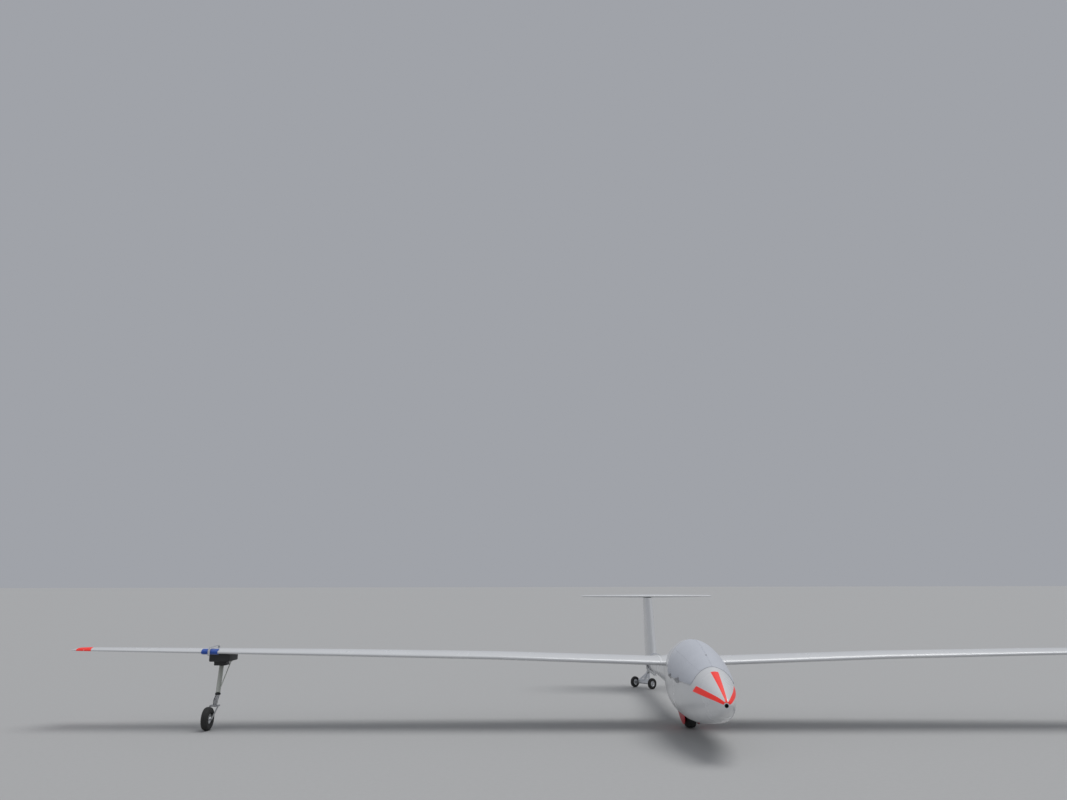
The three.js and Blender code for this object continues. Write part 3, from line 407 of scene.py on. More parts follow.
def half_thickness(u, thick):
    return 5 * thick * (0.2969 * sqrt(u) - 0.126 * u - 0.3516 * u**2 + 0.2843 * u**3 - 0.1015 * u**4)


def camber_at(u, camber):
    if u < CAMBER_PEAK:
        return camber / CAMBER_PEAK**2 * (2 * CAMBER_PEAK * u - u**2)
    return camber / (1 - CAMBER_PEAK)**2 * (1 - 2 * CAMBER_PEAK + 2 * CAMBER_PEAK * u - u**2)


def aerofoil(thick, camber):
    """A closed section of unit chord, from the trailing edge over the top and back."""
    steps = 32
    places = [(1 - cos(pi * i / steps)) / 2 for i in range(steps + 1)]
    upper = [(u, camber_at(u, camber) + half_thickness(u, thick)) for u in places]
    lower = [(u, camber_at(u, camber) - half_thickness(u, thick)) for u in places[1:]]
    return upper[::-1] + lower


def wing_ring(row, side, grow=0.0, camber=CAMBER, incidence=INCIDENCE):
    x, lead, chord, z, thick = row
    full = chord + 2 * grow
    thick = thick * (chord / full) + 2 * grow / full
    return [(side * x, lead - grow + u * full, z + v * full - (u - 0.3) * full * incidence)
            for u, v in aerofoil(thick, camber)]


def wing_row(x):
    i = next((k for k in range(len(WING) - 1) if x <= WING[k + 1][0]), len(WING) - 2)
    a, b = WING[i], WING[i + 1]
    t = (x - a[0]) / (b[0] - a[0])
    return (x, *(a[k] + t * (b[k] - a[k]) for k in range(1, 5)))


def wing_solid(name, side, grow=0.0, rows=None):
    return loft(name, [wing_ring(row, side, grow) for row in rows or WING])


def wing_point(x, u, side):
    _, lead, chord, z, _ = wing_row(x)
    return Vector((side * x, lead + u * chord,
                   z + camber_at(u, CAMBER) * chord - (u - 0.3) * chord * INCIDENCE))


def aft_block(name, a, b, aft, half):
    """A flat-sided block with one edge face on the line a-b, reaching aft."""
    across = (b - a).normalized().cross(Vector((0, 1, 0))).normalized() * half
    back = Vector((0, aft, 0))
    return loft(name, [[p - across, p + back - across, p + back + across, p + across] for p in (a, b)])


def round_nose(spine, grow=0.0):
    """A round bar through places on a line, each with its radius."""
    along = (spine[-1][0] - spine[0][0]).normalized()
    across = along.cross(Vector((0, 1, 0))).normalized()
    up = along.cross(across)
    turns = [across * cos(tau * i / 48) + up * sin(tau * i / 48) for i in range(48)]
    return loft("nose", [[p + turn * (radius + grow) for turn in turns] for p, radius in spine])


def hinged(whole, names, spine, aft, ends=FLAP_GAP):
    """Splits a surface at a hinge line into the part that stays and the part that turns."""
    a, b = spine[0][0], spine[-1][0]
    along = (b - a).normalized()
    stays, turns = names
    whole.name = stays
    moving = link(turns, whole.data.copy())
    a2, b2 = a + along * ends, b - along * ends
    short = [(a2, spine[0][1]), *spine[1:-1], (b2, spine[-1][1])]
    room = join(aft_block("room", a, b, aft, 300), round_nose(spine, FLAP_GAP))
    keep(moving, join(aft_block("flap", a2, b2, aft, 300), round_nose(short)))
    return cut(whole, room), moving


# Scene furniture

def camera():
    """The photograph's view. Its focal length is in pixels of the 1067 x 800 frame."""
    focal, frame_width = 850.1, 1067
    pitch, yaw, roll = 12.174, -0.475, -0.110
    made = link("camera", bpy.data.cameras.new("camera"))
    made.data.sensor_fit = "HORIZONTAL"
    made.data.sensor_width = 36
    made.data.lens = 36 * focal / frame_width
    made.data.clip_end = 1000
    made.matrix_world = (Matrix.Translation((-1.7574, -11.7744, 1.6703))
                         @ Matrix.Rotation(radians(-yaw), 4, "Z")
                         @ Matrix.Rotation(radians(90 + pitch), 4, "X")
                         @ Matrix.Rotation(radians(roll), 4, "Z"))
    bpy.context.scene.camera = made


class Value:
    """A node's socket that takes part in sums written in Python."""

    def __init__(self, tree, socket):
        self.tree, self.socket = tree, socket

    def __add__(self, other):
        return self.tree.sum("ADD", self, other)

    __radd__ = __add__

    def __sub__(self, other):
        return self.tree.sum("SUBTRACT", self, other)

    def __rsub__(self, other):
        return self.tree.sum("SUBTRACT", other, self)

    def __mul__(self, other):
        return self.tree.sum("MULTIPLY", self, other)

    __rmul__ = __mul__

    def __truediv__(self, other):
        return self.tree.sum("DIVIDE", self, other)

    def __rtruediv__(self, other):
        return self.tree.sum("DIVIDE", other, self)

    def __pow__(self, other):
        return self.tree.sum("POWER", self, other)

    def __gt__(self, other):
        return self.tree.sum("GREATER_THAN", self, other)

    def __lt__(self, other):
        return self.tree.sum("LESS_THAN", self, other)


class Tree:
    """A node tree that is written as calls and sums."""

    def __init__(self, nodes):
        self.nodes = nodes

    def node(self, kind, settings=None, inputs=None, output=0):
        made = self.nodes.nodes.new(kind)
        for name, value in (settings or {}).items():
            if name == "stops":
                self.fill_ramp(made.color_ramp, value)
            else:
                setattr(made, name, value)
        for key, value in (inputs or {}).items():
            if isinstance(value, Value):
                self.nodes.links.new(value.socket, made.inputs[key])
            else:
                made.inputs[key].default_value = value
        return Value(self, made.outputs[output])

    def fill_ramp(self, ramp, stops):
        while len(ramp.elements) < len(stops):
            ramp.elements.new(1.0)
        for element, (place, colour) in zip(ramp.elements, stops):
            element.position = place
            element.color = (*colour, 1)

    def sum(self, operation, *terms):
        return self.node("ShaderNodeMath", {"operation": operation}, dict(enumerate(terms)))


class Finish(Tree):
    """A surface finish: a Principled shader with the nodes that feed it."""

    def __init__(self, name, **constants):
        self.material = bpy.data.materials.new(name)
        self.material.use_nodes = True
        super().__init__(self.material.node_tree)
        self.shader = self.nodes.nodes["Principled BSDF"]
        for key, value in constants.items():
            self.shader.inputs[key.replace("_", " ")].default_value = value

    def place(self, scale, source="Object"):
        coords = self.node("ShaderNodeTexCoord")
        socket = coords.socket.node.outputs[source]
        return self.node("ShaderNodeMapping", {}, {"Vector": Value(self, socket), "Scale": scale})

    def noise(self, size, detail, stretch=(1, 1, 1)):
        """Noise whose grains are about size metres across."""
        where = self.place(tuple(k / size for k in stretch))
        return self.node("ShaderNodeTexNoise", {}, {"Vector": where, "Scale": 1.0, "Detail": detail})

    def mix(self, share, one, two):
        return self.node("ShaderNodeMix", {"data_type": "RGBA"}, {0: share, 6: one, 7: two}, output=2)

    def feed(self, **links):
        for key, value in links.items():
            self.nodes.links.new(value.socket, self.shader.inputs[key.replace("_", " ")])
        return self

    def bump(self, height, depth, strength):
        return self.node("ShaderNodeBump", {}, {"Height": height, "Distance": depth, "Strength": strength})


# Rules: Geometry Nodes trees with named inputs

class Rule(Tree):
    """A Geometry Nodes tree that is run on an object and leaves a plain mesh."""

    def __init__(self, name, **given):
        self.group = bpy.data.node_groups.new(name, "GeometryNodeTree")
        super().__init__(self.group)
        face = self.group.interface
        face.new_socket("Geometry", in_out="INPUT", socket_type="NodeSocketGeometry")
        face.new_socket("Geometry", in_out="OUTPUT", socket_type="NodeSocketGeometry")
        self.keys = {}
        for key, value in given.items():
            kind = "NodeSocketInt" if isinstance(value, int) else "NodeSocketFloat"
            socket = face.new_socket(key, in_out="INPUT", socket_type=kind)
            socket.default_value = value
            self.keys[key] = socket.identifier
        self.start = self.group.nodes.new("NodeGroupInput")

    def given(self, key):
        return Value(self, self.start.outputs[key])

    def split(self, vector):
        parts = self.node("ShaderNodeSeparateXYZ", {}, {0: vector}).socket.node
        return [Value(self, socket) for socket in parts.outputs]

    def vector(self, x, y, z):
        return self.node("ShaderNodeCombineXYZ", {}, {0: x, 1: y, 2: z})

    def close(self, geometry, material):
        real = self.node("GeometryNodeRealizeInstances", {}, {0: geometry})
        done = self.node("GeometryNodeSetMaterial", {}, {0: real, "Material": material})
        end = self.group.nodes.new("NodeGroupOutput")
        self.group.links.new(done.socket, end.inputs[0])

    def run(self, piece, **values):
        step = piece.modifiers.new("rule", "NODES")
        step.node_group = self.group
        for key, value in values.items():
            step[self.keys[key]] = value
        return settle(piece)


def tyre_rule(material):
    """A tyre's section carried round its wheel: square shoulders and grooves in the tread."""
    r = Rule("tyre_rule", Radius=0.18, Width=0.12, Rim=0.07, Grooves=3.0, Depth=0.003)
    grid = r.node("GeometryNodeMeshGrid", {}, {"Size X": 1.0, "Size Y": 1.0, "Vertices X": 97,
                                              "Vertices Y": 129})
    u, v, _ = r.split(r.node("GeometryNodeInputPosition"))
    turn, round_section = u * tau, v * tau
    c, q = r.sum("COSINE", round_section), r.sum("SINE", round_section)

    def squared(value, exponent):
        return r.sum("SIGN", value) * r.sum("ABSOLUTE", value) ** exponent

    middle = (r.given("Radius") + r.given("Rim")) * 0.5
    reach = (r.given("Radius") - r.given("Rim")) * 0.5
    share = squared(c, 0.66)
    wave = r.sum("COSINE", share * r.given("Grooves") * pi)
    groove = r.sum("MAXIMUM", wave * 2.2 - 1.2, 0.0) * (q > 0.45) * r.given("Depth")
    radius = middle + squared(q, 0.6) * reach - groove
    place = r.vector(share * r.given("Width") * 0.5, radius * r.sum("COSINE", turn),
                     radius * r.sum("SINE", turn))
    bent = r.node("GeometryNodeSetPosition", {}, {0: grid, "Position": place})
    r.close(r.node("GeometryNodeMergeByDistance", {}, {0: bent, "Distance": 0.00002}), material)
    return r


def stitch_rule(material):
    """Short threads laid end to end along a line."""
    r = Rule("stitch_rule", Pitch=0.006, Length=0.004, Thick=0.0005)
    line = r.node("GeometryNodeMeshToCurve", {}, {0: Value(r, r.start.outputs[0])})
    even = r.node("GeometryNodeResampleCurve", {"mode": "LENGTH"}, {0: line, "Length": r.given("Pitch")})
    thread = r.node("GeometryNodeMeshCylinder", {}, {"Vertices": 6, "Radius": r.given("Thick"),
                                                    "Depth": r.given("Length")})
    tangent = r.node("GeometryNodeInputTangent")
    turn = r.node("FunctionNodeAlignRotationToVector", {"axis": "Z"}, {"Vector": tangent})
    r.close(r.node("GeometryNodeInstanceOnPoints", {}, {0: even, "Instance": thread, "Rotation": turn}),
            material)
    return r


def bead_rule(material):
    """A round bead along a line."""
    r = Rule("bead_rule", Thick=0.0015)
    line = r.node("GeometryNodeMeshToCurve", {}, {0: Value(r, r.start.outputs[0])})
    ring = r.node("GeometryNodeCurvePrimitiveCircle", {}, {"Resolution": 10, "Radius": r.given("Thick")})
    r.close(r.node("GeometryNodeCurveToMesh", {}, {0: line, 1: ring, "Fill Caps": True}), material)
    return r


def stud_rule(material, name, sides):
    """Bolt heads on points, each looking along the point's own facing."""
    r = Rule(name, Radius=0.004, Height=0.003)
    head = r.node("GeometryNodeMeshCone", {}, {"Vertices": sides, "Radius Top": r.given("Radius") * 0.82,
                                              "Radius Bottom": r.given("Radius"), "Depth": r.given("Height")})
    facing = r.node("GeometryNodeInputNamedAttribute", {"data_type": "FLOAT_VECTOR"}, {"Name": "facing"})
    turn = r.node("FunctionNodeAlignRotationToVector", {"axis": "Z"}, {"Vector": facing})
    r.close(r.node("GeometryNodeInstanceOnPoints", {}, {
        0: Value(r, r.start.outputs[0]), "Instance": head, "Rotation": turn}), material)
    return r


def tick_rule(material):
    """Marks round a dial: every fifth one is longer."""
    r = Rule("tick_rule", Count=40, Radius=0.032, Length=0.004, Thick=0.0006)
    ring = r.node("GeometryNodeMeshCircle", {}, {"Vertices": r.given("Count"), "Radius": r.given("Radius")})
    mark = r.node("GeometryNodeMeshCube", {}, {"Size": r.vector(r.given("Length"), r.given("Thick"), 0.0004)})
    number = r.node("GeometryNodeInputIndex")
    long = (r.sum("MODULO", number, 5.0) < 0.5) * 0.9 + 0.7
    turn = r.vector(0.0, 0.0, number * tau / r.given("Count"))
    r.close(r.node("GeometryNodeInstanceOnPoints", {}, {
        0: ring, "Instance": mark, "Rotation": turn, "Scale": r.vector(long, 1.0, 1.0)}), material)
    return r


def studs(name, spots, radius, height, body, heads):
    """Bolt heads at (place, facing) pairs, in millimetres."""
    piece = path_mesh(name, [place for place, _ in spots], joined=False)
    facing = piece.data.attributes.new("facing", "FLOAT_VECTOR", "POINT")
    for item, (_, way) in zip(facing.data, spots):
        item.vector = Vector(way).normalized()
    heads.run(piece, Radius=radius * MM, Height=height * MM)
    return finished(piece, body, steel, angle=30)


# Finishes

def rgba(*colour):
    return (*colour, 1.0)


def gelcoat_finish():
    """Polished white gelcoat: long waves from the mould, faint dust and rubbed spots."""
    f = Finish("gelcoat_white", Coat_Weight=0.35, Coat_Roughness=0.12)
    dust = f.noise(0.45, 5.0)
    streak = f.noise(0.08, 4.0, (1.0, 0.25, 1.0))
    shade_of = f.mix(dust, rgba(0.68, 0.69, 0.70), rgba(0.75, 0.76, 0.77))
    waves = f.noise(0.35, 1.0)
    return f.feed(Base_Color=f.mix(streak * 0.25, shade_of, rgba(0.66, 0.66, 0.65)),
                  Roughness=dust * 0.12 + 0.2,
                  Normal=f.bump(waves, 0.0015, 0.5)).material


def simple_finish(name, colour, tint, roughness, grain=0.004, depth=0.0002, metal=0.0, **constants):
    """A finish with broken colour and a fine grain."""
    f = Finish(name, Metallic=metal, **constants)
    cloud = f.noise(0.05, 4.0)
    fine = f.noise(grain, 3.0)
    return f.feed(Base_Color=f.mix(cloud, rgba(*colour), rgba(*tint)),
                  Roughness=cloud * 0.15 + (roughness - 0.075),
                  Normal=f.bump(fine, depth, 0.6)).material


def weave_finish(name, warp, weft, pitch, source="Object"):
    """Plain weave: threads cross over and under, on the piece's places or its UV map in metres."""
    f = Finish(name, Sheen_Weight=0.3, Sheen_Roughness=0.6)
    where = f.node("ShaderNodeSeparateXYZ", {}, {0: f.place((1 / pitch, 1 / pitch, 1 / pitch), source)})
    u, v = where, Value(f, where.socket.node.outputs[1])
    over = f.sum("SINE", u * tau) * f.sum("SINE", v * tau)
    cloud = f.noise(0.12, 4.0)
    threads = over * 0.5 + 0.5
    colour = f.mix(threads, rgba(*warp), rgba(*weft))
    worn = f.mix(cloud * 0.35, colour, rgba(*[c * 0.8 for c in warp]))
    return f.feed(Base_Color=worn, Roughness=cloud * 0.1 + 0.85,
                  Normal=f.bump(over, pitch * 0.1, 0.5)).material


gelcoat = gelcoat_finish()
cover_cloth = weave_finish("cover_cloth", (0.55, 0.575, 0.63), (0.59, 0.615, 0.67), 0.0024, "UV")
# Dayglo red foil; its small red emission is a painted glow that brightens the red even where no lamp reaches
# it.
glowing_red_foil = simple_finish("glowing_red_foil", (0.86, 0.022, 0.014), (0.93, 0.035, 0.022), 0.45,
                         Emission_Strength=0.16, Emission_Color=(1.0, 0.03, 0.015, 1.0))
red_paint = simple_finish("red_paint", (0.66, 0.018, 0.035), (0.76, 0.03, 0.05), 0.4, Coat_Weight=0.2)
rubber = simple_finish("tyre_rubber", (0.020, 0.020, 0.022), (0.045, 0.044, 0.042), 0.85, 0.002, 0.0003)
aluminium = simple_finish("bare_metal", (0.60, 0.61, 0.63), (0.72, 0.73, 0.74), 0.34, 0.003, 0.0001, 0.95)
steel = simple_finish("steel", (0.42, 0.43, 0.44), (0.52, 0.52, 0.53), 0.38, 0.003, 0.0001, 0.95)
black_plastic = simple_finish("black_plastic", (0.018, 0.019, 0.021), (0.035, 0.035, 0.037), 0.55, 0.0015)
grey_plastic = simple_finish("grey_plastic", (0.23, 0.24, 0.25), (0.29, 0.30, 0.31), 0.5, 0.0015)
blue_cloth = weave_finish("blue_cloth", (0.006, 0.065, 0.38), (0.015, 0.10, 0.50), 0.002)
pale_tube = simple_finish("pale_tube", (0.50, 0.52, 0.46), (0.60, 0.61, 0.56), 0.42, 0.003, 0.0001, 0.25)
tape = simple_finish("white_tape", (0.74, 0.75, 0.76), (0.80, 0.81, 0.82), 0.3)
hem_cloth = simple_finish("hem_cloth", (0.36, 0.38, 0.43), (0.44, 0.46, 0.51), 0.85, 0.0012, 0.0004)
thread = simple_finish("thread", (0.30, 0.31, 0.35), (0.40, 0.41, 0.45), 0.9, 0.0006)
seat_cloth = weave_finish("seat_cloth", (0.035, 0.045, 0.075), (0.06, 0.075, 0.12), 0.0022)
strap_web = weave_finish("strap_web", (0.012, 0.03, 0.10), (0.02, 0.05, 0.16), 0.0016)
crackle = simple_finish("crackle_black", (0.016, 0.017, 0.018), (0.032, 0.033, 0.035), 0.6, 0.0011, 0.0005)
dial_black = simple_finish("dial_black", (0.008, 0.008, 0.009), (0.014, 0.014, 0.015), 0.35, 0.001)
chalk = simple_finish("chalk_white", (0.75, 0.76, 0.74), (0.82, 0.82, 0.80), 0.6, 0.001)
display = simple_finish("display_grey", (0.20, 0.24, 0.20), (0.26, 0.30, 0.26), 0.2, 0.002)
knob_paint = {
    "blue": simple_finish("blue_knob", (0.01, 0.06, 0.38), (0.02, 0.09, 0.46), 0.35, Coat_Weight=0.4),
    "green": simple_finish("green_knob", (0.01, 0.20, 0.05), (0.02, 0.26, 0.07), 0.35, Coat_Weight=0.4),
    "black": simple_finish("black_knob", (0.015, 0.015, 0.016), (0.03, 0.03, 0.03), 0.4, Coat_Weight=0.3),
}
pale_floor = simple_finish("pale_floor", (0.43, 0.43, 0.425), (0.47, 0.47, 0.465), 0.9, 0.02)
plexiglass = Finish("clear_canopy", Transmission_Weight=1.0, Roughness=0.03, IOR=1.08,
                    Base_Color=(0.93, 0.96, 0.95, 1.0)).material

# The record's material slots, each with the finishes that stand for it
SLOTS = {
    "gelcoat": (gelcoat, tape),
    "cover_cloth": (cover_cloth, hem_cloth, thread),
    "clear_canopy": (plexiglass,),
    "red_paint": (red_paint, glowing_red_foil),
    "tyre_rubber": (rubber,),
    "bare_metal": (aluminium, pale_tube),
    "steel": (steel,),
    "black_plastic": (black_plastic, crackle, dial_black, *knob_paint.values()),
    "grey_plastic": (grey_plastic, chalk, display),
    "blue_cloth": (blue_cloth, seat_cloth, strap_web),
}
SLOT_OF = {material: slot for slot, group in SLOTS.items() for material in group}

tyre_form = tyre_rule(rubber)
hem_bead = bead_rule(hem_cloth)
seam_stitches = stitch_rule(thread)
dial_ticks = tick_rule(chalk)
hex_heads = stud_rule(steel, "hex_rule", 6)
screw_heads = stud_rule(steel, "screw_rule", 12)


def finished(piece, body, material, *nodes, angle=40):
    """Smooths a piece up to an angle, gives it its finish and body, and hides the CAD nodes that it stands
    for.
    """
    piece.data.shade_smooth()
    piece.data.set_sharp_from_angle(angle=radians(angle))
    piece.data.materials.clear()
    piece.data.materials.append(material)
    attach(piece, body)
    if nodes:
        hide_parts(*nodes)
    return piece


# Lamps: name, where the light comes from, its spread in degrees, strength
LAMPS = [("key", (3, 1.5, 9), 40, 1.5), ("fill", (-6, -8, 6), 80, 0.15)]


def stage():
    """The floor, the sky's even light and the lamps."""
    size = 400
    mesh = bpy.data.meshes.new("floor")
    corners = [(-size, -size, 0), (size, -size, 0), (size, size, 0), (-size, size, 0)]
    mesh.from_pydata(corners, [], [(0, 1, 2, 3)])
    floor = link("floor", mesh)
    floor.data.materials.append(pale_floor)
    world = bpy.data.worlds.new("studio")
    world.use_nodes = True
    sky = world.node_tree.nodes["Background"].inputs
    sky["Color"].default_value = (0.80, 0.83, 0.90, 1)
    sky["Strength"].default_value = 0.44
    bpy.context.scene.world = world
    bpy.context.scene.view_settings.view_transform = "Standard"
    for name, place, spread, strength in LAMPS:
        light = bpy.data.lights.new(name, "SUN")
        light.angle = radians(spread)
        light.energy = strength
        turn = (-Vector(place)).to_track_quat("-Z", "Y").to_matrix().to_4x4()
        link(name, light).matrix_world = Matrix.Translation(place) @ turn


# Fuselage

def wing_fairing(side):
    """The concave fairing between the fuselage and the wing root."""
    root, last = WING[0], 8
    inner, outer = 150, root[0] - SEAT_GAP
    made = []
    for i in range(last + 1):
        t = i / last
        x = inner + (outer - inner) * t
        made.append(wing_ring((x, *root[1:]), side, 0.6 + 38 * (1 - t) ** 2.2))
    return loft("fairing", made)


def sill_lip():
    """The ledge inside the skin that the canopy rim rests on."""
    band = cut(canopy_region("band", -26), canopy_region("hole", RIM - 12))
    ledge = cut(hull("ledge", -RIM_DEPTH - SEAT_GAP, *CANOPY_ZONE), hull("in", -RIM_DEPTH - 8, *CANOPY_ZONE))
    return keep(ledge, band)


def hinge_ears(s):
    """The pin of a canopy hinge with its two ears, on the fuselage."""
    x, z, half = HINGE["x"], HINGE["z"], HINGE["length"] / 2
    foot = [(x - 3, z), (x + 60, z), (x + 60, z - 34), (x + 16, z - 34)]
    made = rod("pin", (x, s - half - 4, z), (x, s + half + 4, z), HINGE["pin"])
    for side in (-1, 1):
        start = s + side * (half + 2) - 5
        ear = join(rod("ear", (x, start, z), (x, start + 10, z), HINGE["ring"]),
                   loft("foot", [[(across, y, up) for across, up in foot] for y in (start, start + 10)]))
        join(made, cut(ear, hull("skin", -6, *CANOPY_ZONE),
                       keep(canopy_region("gap", -RUN_GAP), hull("near", 8, *CANOPY_ZONE))))
    return made


def fuselage(rudder_room):
    s, z, radius = TAIL_WHEEL["s"], TAIL_WHEEL["z"], TAIL_WHEEL["radius"]
    half = TAIL_WHEEL["width"] / 2 + 6
    skin = hull("fuselage_skin", steps=150)
    join(skin, wing_fairing(1), wing_fairing(-1))
    opening = keep(canopy_region("opening", -2), hull("out", 40, 500, 2000, 30))
    slot = join(block("slot", -half, half, s - radius - 8, s + radius + 8, 300, z),
                rod("round", (-half, s, z), (half, s, z), radius + 8, sides=48))
    cut(skin, hull("cavity", -SKIN, *CAVITY), opening,
        block("well", -WELL["half"], WELL["half"], WELL["front"], WELL["rear"], 100, WELL["roof"]),
        rod("inlet", (0, -5, 530), (0, 70, 530), 20), slot, rudder_room)
    join(skin, sill_lip(), rod("axle", (-half - 6, s, z), (half + 6, s, z), TAIL_WHEEL["bore"]))
    ears = [hinge_ears(station) for station in HINGE["stations"]]
    finished(merged("canopy_hinge_ears", *ears), "airframe", steel, angle=35)
    return finished(skin, "airframe", gelcoat, "fuselage_shell", angle=35)


def canopy():
    rim = cut(hull("canopy_rim", 0, *CANOPY_ZONE), hull("in", -RIM_DEPTH, *CANOPY_ZONE))
    keep(rim, cut(canopy_region("edge", 0), canopy_region("hole", RIM)))
    x, z, half = HINGE["x"], HINGE["z"], HINGE["length"] / 2 - 6
    bore = HINGE["pin"] + 0.5
    knuckles = []
    for s in HINGE["stations"]:
        knuckle = join(rod("knuckle", (x, s - half, z), (x, s + half, z), HINGE["ring"]),
                       block("arm", x, x + 60, s - half, s + half, z + 1, z + 16))
        cut(knuckle, hull("in", -RIM_DEPTH, *CANOPY_ZONE), rod("bore", (x, s - 60, z), (x, s + 60, z), bore))
        knuckles.append(knuckle)
    finished(merged("canopy_knuckles", *knuckles), "canopy", steel, angle=35)
    finished(rim, "canopy", gelcoat, "canopy_frame", angle=35)
    glass = cut(hull("canopy_bubble", 0, *CANOPY_ZONE), hull("in", -GLASS_DEPTH, *CANOPY_ZONE))
    keep(glass, canopy_region("pane", RIM + SEAT_GAP))
    finished(glass, "canopy", plexiglass, "canopy_glass", angle=35)


# Wings

def brake_slab(side, x0, x1, ahead, behind, under, over):
    """A block along the airbrake's line, measured from the wing's upper face."""
    rows = [wing_row(BRAKE["inner"]), wing_row(BRAKE["outer"])]
    u = BRAKE["at"]
    faces = [z + (camber_at(u, CAMBER) + half_thickness(u, thick)) * chord - (u - 0.3) * chord * INCIDENCE
             for _, _, chord, z, thick in rows]
    middles = [lead + u * chord for _, lead, chord, _, _ in rows]
    rings = []
    for x in (x0, x1):
        t = (x - BRAKE["inner"]) / (BRAKE["outer"] - BRAKE["inner"])
        mid = middles[0] + t * (middles[1] - middles[0])
        top = faces[0] + t * (faces[1] - faces[0])
        rings.append([(side * x, mid - ahead, top - under), (side * x, mid + behind, top - under),
                      (side * x, mid + behind, top + over), (side * x, mid - ahead, top + over)])
    return loft("slab", rings)


def airbrake(side):
    """The room that an airbrake takes out of the wing, and its cap with the blade."""
    inner, outer, cap, thick = BRAKE["inner"], BRAKE["outer"], BRAKE["cap"], BRAKE["cap_thick"]
    plate, gap = BRAKE["plate"], BRAKE["gap"]
    slot = plate + gap * 1.5
    room = join(brake_slab(side, inner, outer, slot, slot, BRAKE["pocket"], 40),
                brake_slab(side, inner - cap / 2, outer + cap / 2, cap / 2 + 2, cap / 2 + 2, thick + 0.3, 40))
    cap_bar = keep(brake_slab(side, inner - cap / 2 + 2, outer + cap / 2 - 2, cap / 2, cap / 2, thick, 30),
                   wing_solid("skin", side))
    blade = brake_slab(side, inner + gap, outer - gap, plate + gap / 2, -gap / 2, BRAKE["blade"], -thick + 1)
    return room, join(cap_bar, blade)


def wing(side, label):
    a = wing_point(AILERON["inner"], AILERON["hinge"], side)
    b = wing_point(AILERON["outer"], AILERON["hinge"], side)
    radii = []
    for x in (AILERON["inner"], AILERON["outer"]):
        row = wing_row(x)
        radii.append(half_thickness(AILERON["hinge"], row[4]) * row[2] + NOSE_PROUD)
    whole = wing_solid("wing", side)
    names = (f"wing_panel_{label}", f"aileron_panel_{label}")
    fixed, moving = hinged(whole, names, list(zip((a, b), radii)), 400)
    room, blade = airbrake(side)
    cut(fixed, room)
    blade.name = f"airbrake_cap_{label}"
    finished(fixed, "airframe", gelcoat, f"wing_{label}", angle=35)
    finished(moving, f"aileron_{label}", gelcoat, f"aileron_{label}", angle=35)
    finished(blade, f"airbrake_{label}", gelcoat, f"airbrake_blade_{label}", angle=35)


# Tail

def fin_ring(row):
    z, lead, trail, thick = row
    chord = trail - lead
    return [(v * chord, lead + u * chord, z) for u, v in aerofoil(thick, 0)]


def fin_radius(z, s):
    p, q = (FIN[0], FIN[1]) if z < FIN[1][0] else (FIN[1], FIN[2])
    t = (z - p[0]) / (q[0] - p[0])
    lead, trail, thick = (p[k] + t * (q[k] - p[k]) for k in (1, 2, 3))
    return half_thickness((s - lead) / (trail - lead), thick) * (trail - lead) + NOSE_PROUD


def tailplane_solid(name, grow=0.0):
    rows = [(-1, row) for row in TAILPLANE[:0:-1]] + [(1, row) for row in TAILPLANE]
    return loft(name, [wing_ring(row, side, grow, 0, 0) for side, row in rows])


def fin_and_rudder():
    low, high = RUDDER["low"], RUDDER["high"]
    a = Vector((0, RUDDER["hinge_low"], low - RUN_GAP))
    b = Vector((0, RUDDER["hinge_high"], high + RUN_GAP))
    knee = a.lerp(b, (FIN[1][0] - a.z) / (b.z - a.z))
    spine = [(p, fin_radius(p.z, p.y)) for p in (a, knee, b)]
    whole = loft("fin", [fin_ring((low - RUN_GAP - 1, *FIN[0][1:]))] + [fin_ring(row) for row in FIN[1:]])
    room = join(aft_block("room", a, b, 600, 300), round_nose(spine, RUN_GAP))
    fixed, moving = hinged(whole, ("fin_panel", "rudder_panel"), spine, 600, ends=RUN_GAP)
    aft, roof = 6600, 1600
    ramp = [(b.y - 80, roof), (b.y - 80, high + 58), (b.y - 40, high + 36), (b.y + 40, high + 14),
            (aft, high + 14), (aft, roof)]
    cut(fixed, hull("boom", SEAT_GAP, 3000), tailplane_solid("tail", SEAT_GAP),
        block("over", -200, 200, b.y + 35, aft, high - 20, roof), side_solid("ramp", ramp, -200, 200))
    keep(fixed, block("above", -200, 200, 5000, aft, FIN_BASE, roof))
    finished(fixed, "airframe", gelcoat, "fin", angle=35)
    finished(moving, "rudder", gelcoat, "rudder", angle=35)
    return room


def tailplane():
    hinge, half, z = ELEVATOR["hinge"], ELEVATOR["half"], TAILPLANE[0][3]
    radii = []
    for _, lead, chord, _, thick in TAILPLANE[:2]:
        radii.append(half_thickness((hinge - lead) / chord, thick) * chord + NOSE_PROUD)
    whole = tailplane_solid("tailplane_panel")
    moving = tailplane_solid("elevator_panel")

    def spindle(reach, grow):
        ends = [radius + grow for radius in radii]
        return [rod("cone", (-side * 2, hinge, z), (side * reach, hinge, z), *ends, 48) for side in (-1, 1)]

    a, b = Vector((-half, hinge, z)), Vector((half, hinge, z))
    gap = Vector((FLAP_GAP, 0, 0))
    cut(whole, join(aft_block("room", a, b, 400, 200), *spindle(half, FLAP_GAP)))
    keep(moving, join(aft_block("flap", a + gap, b - gap, 400, 200), *spindle(half - FLAP_GAP, 0)))
    finished(whole, "airframe", gelcoat, "tailplane", angle=35)
    finished(moving, "elevator", gelcoat, "elevator", angle=35)


# Marks on the skin

def angle_at_height(s, z):
    """Where the left half of the hull's ring reaches a height."""
    _, top, wide, low, up, down = section(s)
    if z >= wide:
        return math.asin(min((z - wide) / (top - wide), 1) ** (up / 2))
    return -math.asin(min((wide - z) / (wide - low), 1) ** (down / 2))


def angle_at_width(s, x):
    half, _, _, _, up, _ = section(s)
    angle = math.acos(min(abs(x) / half, 1) ** (up / 2))
    return angle if x >= 0 else pi - angle


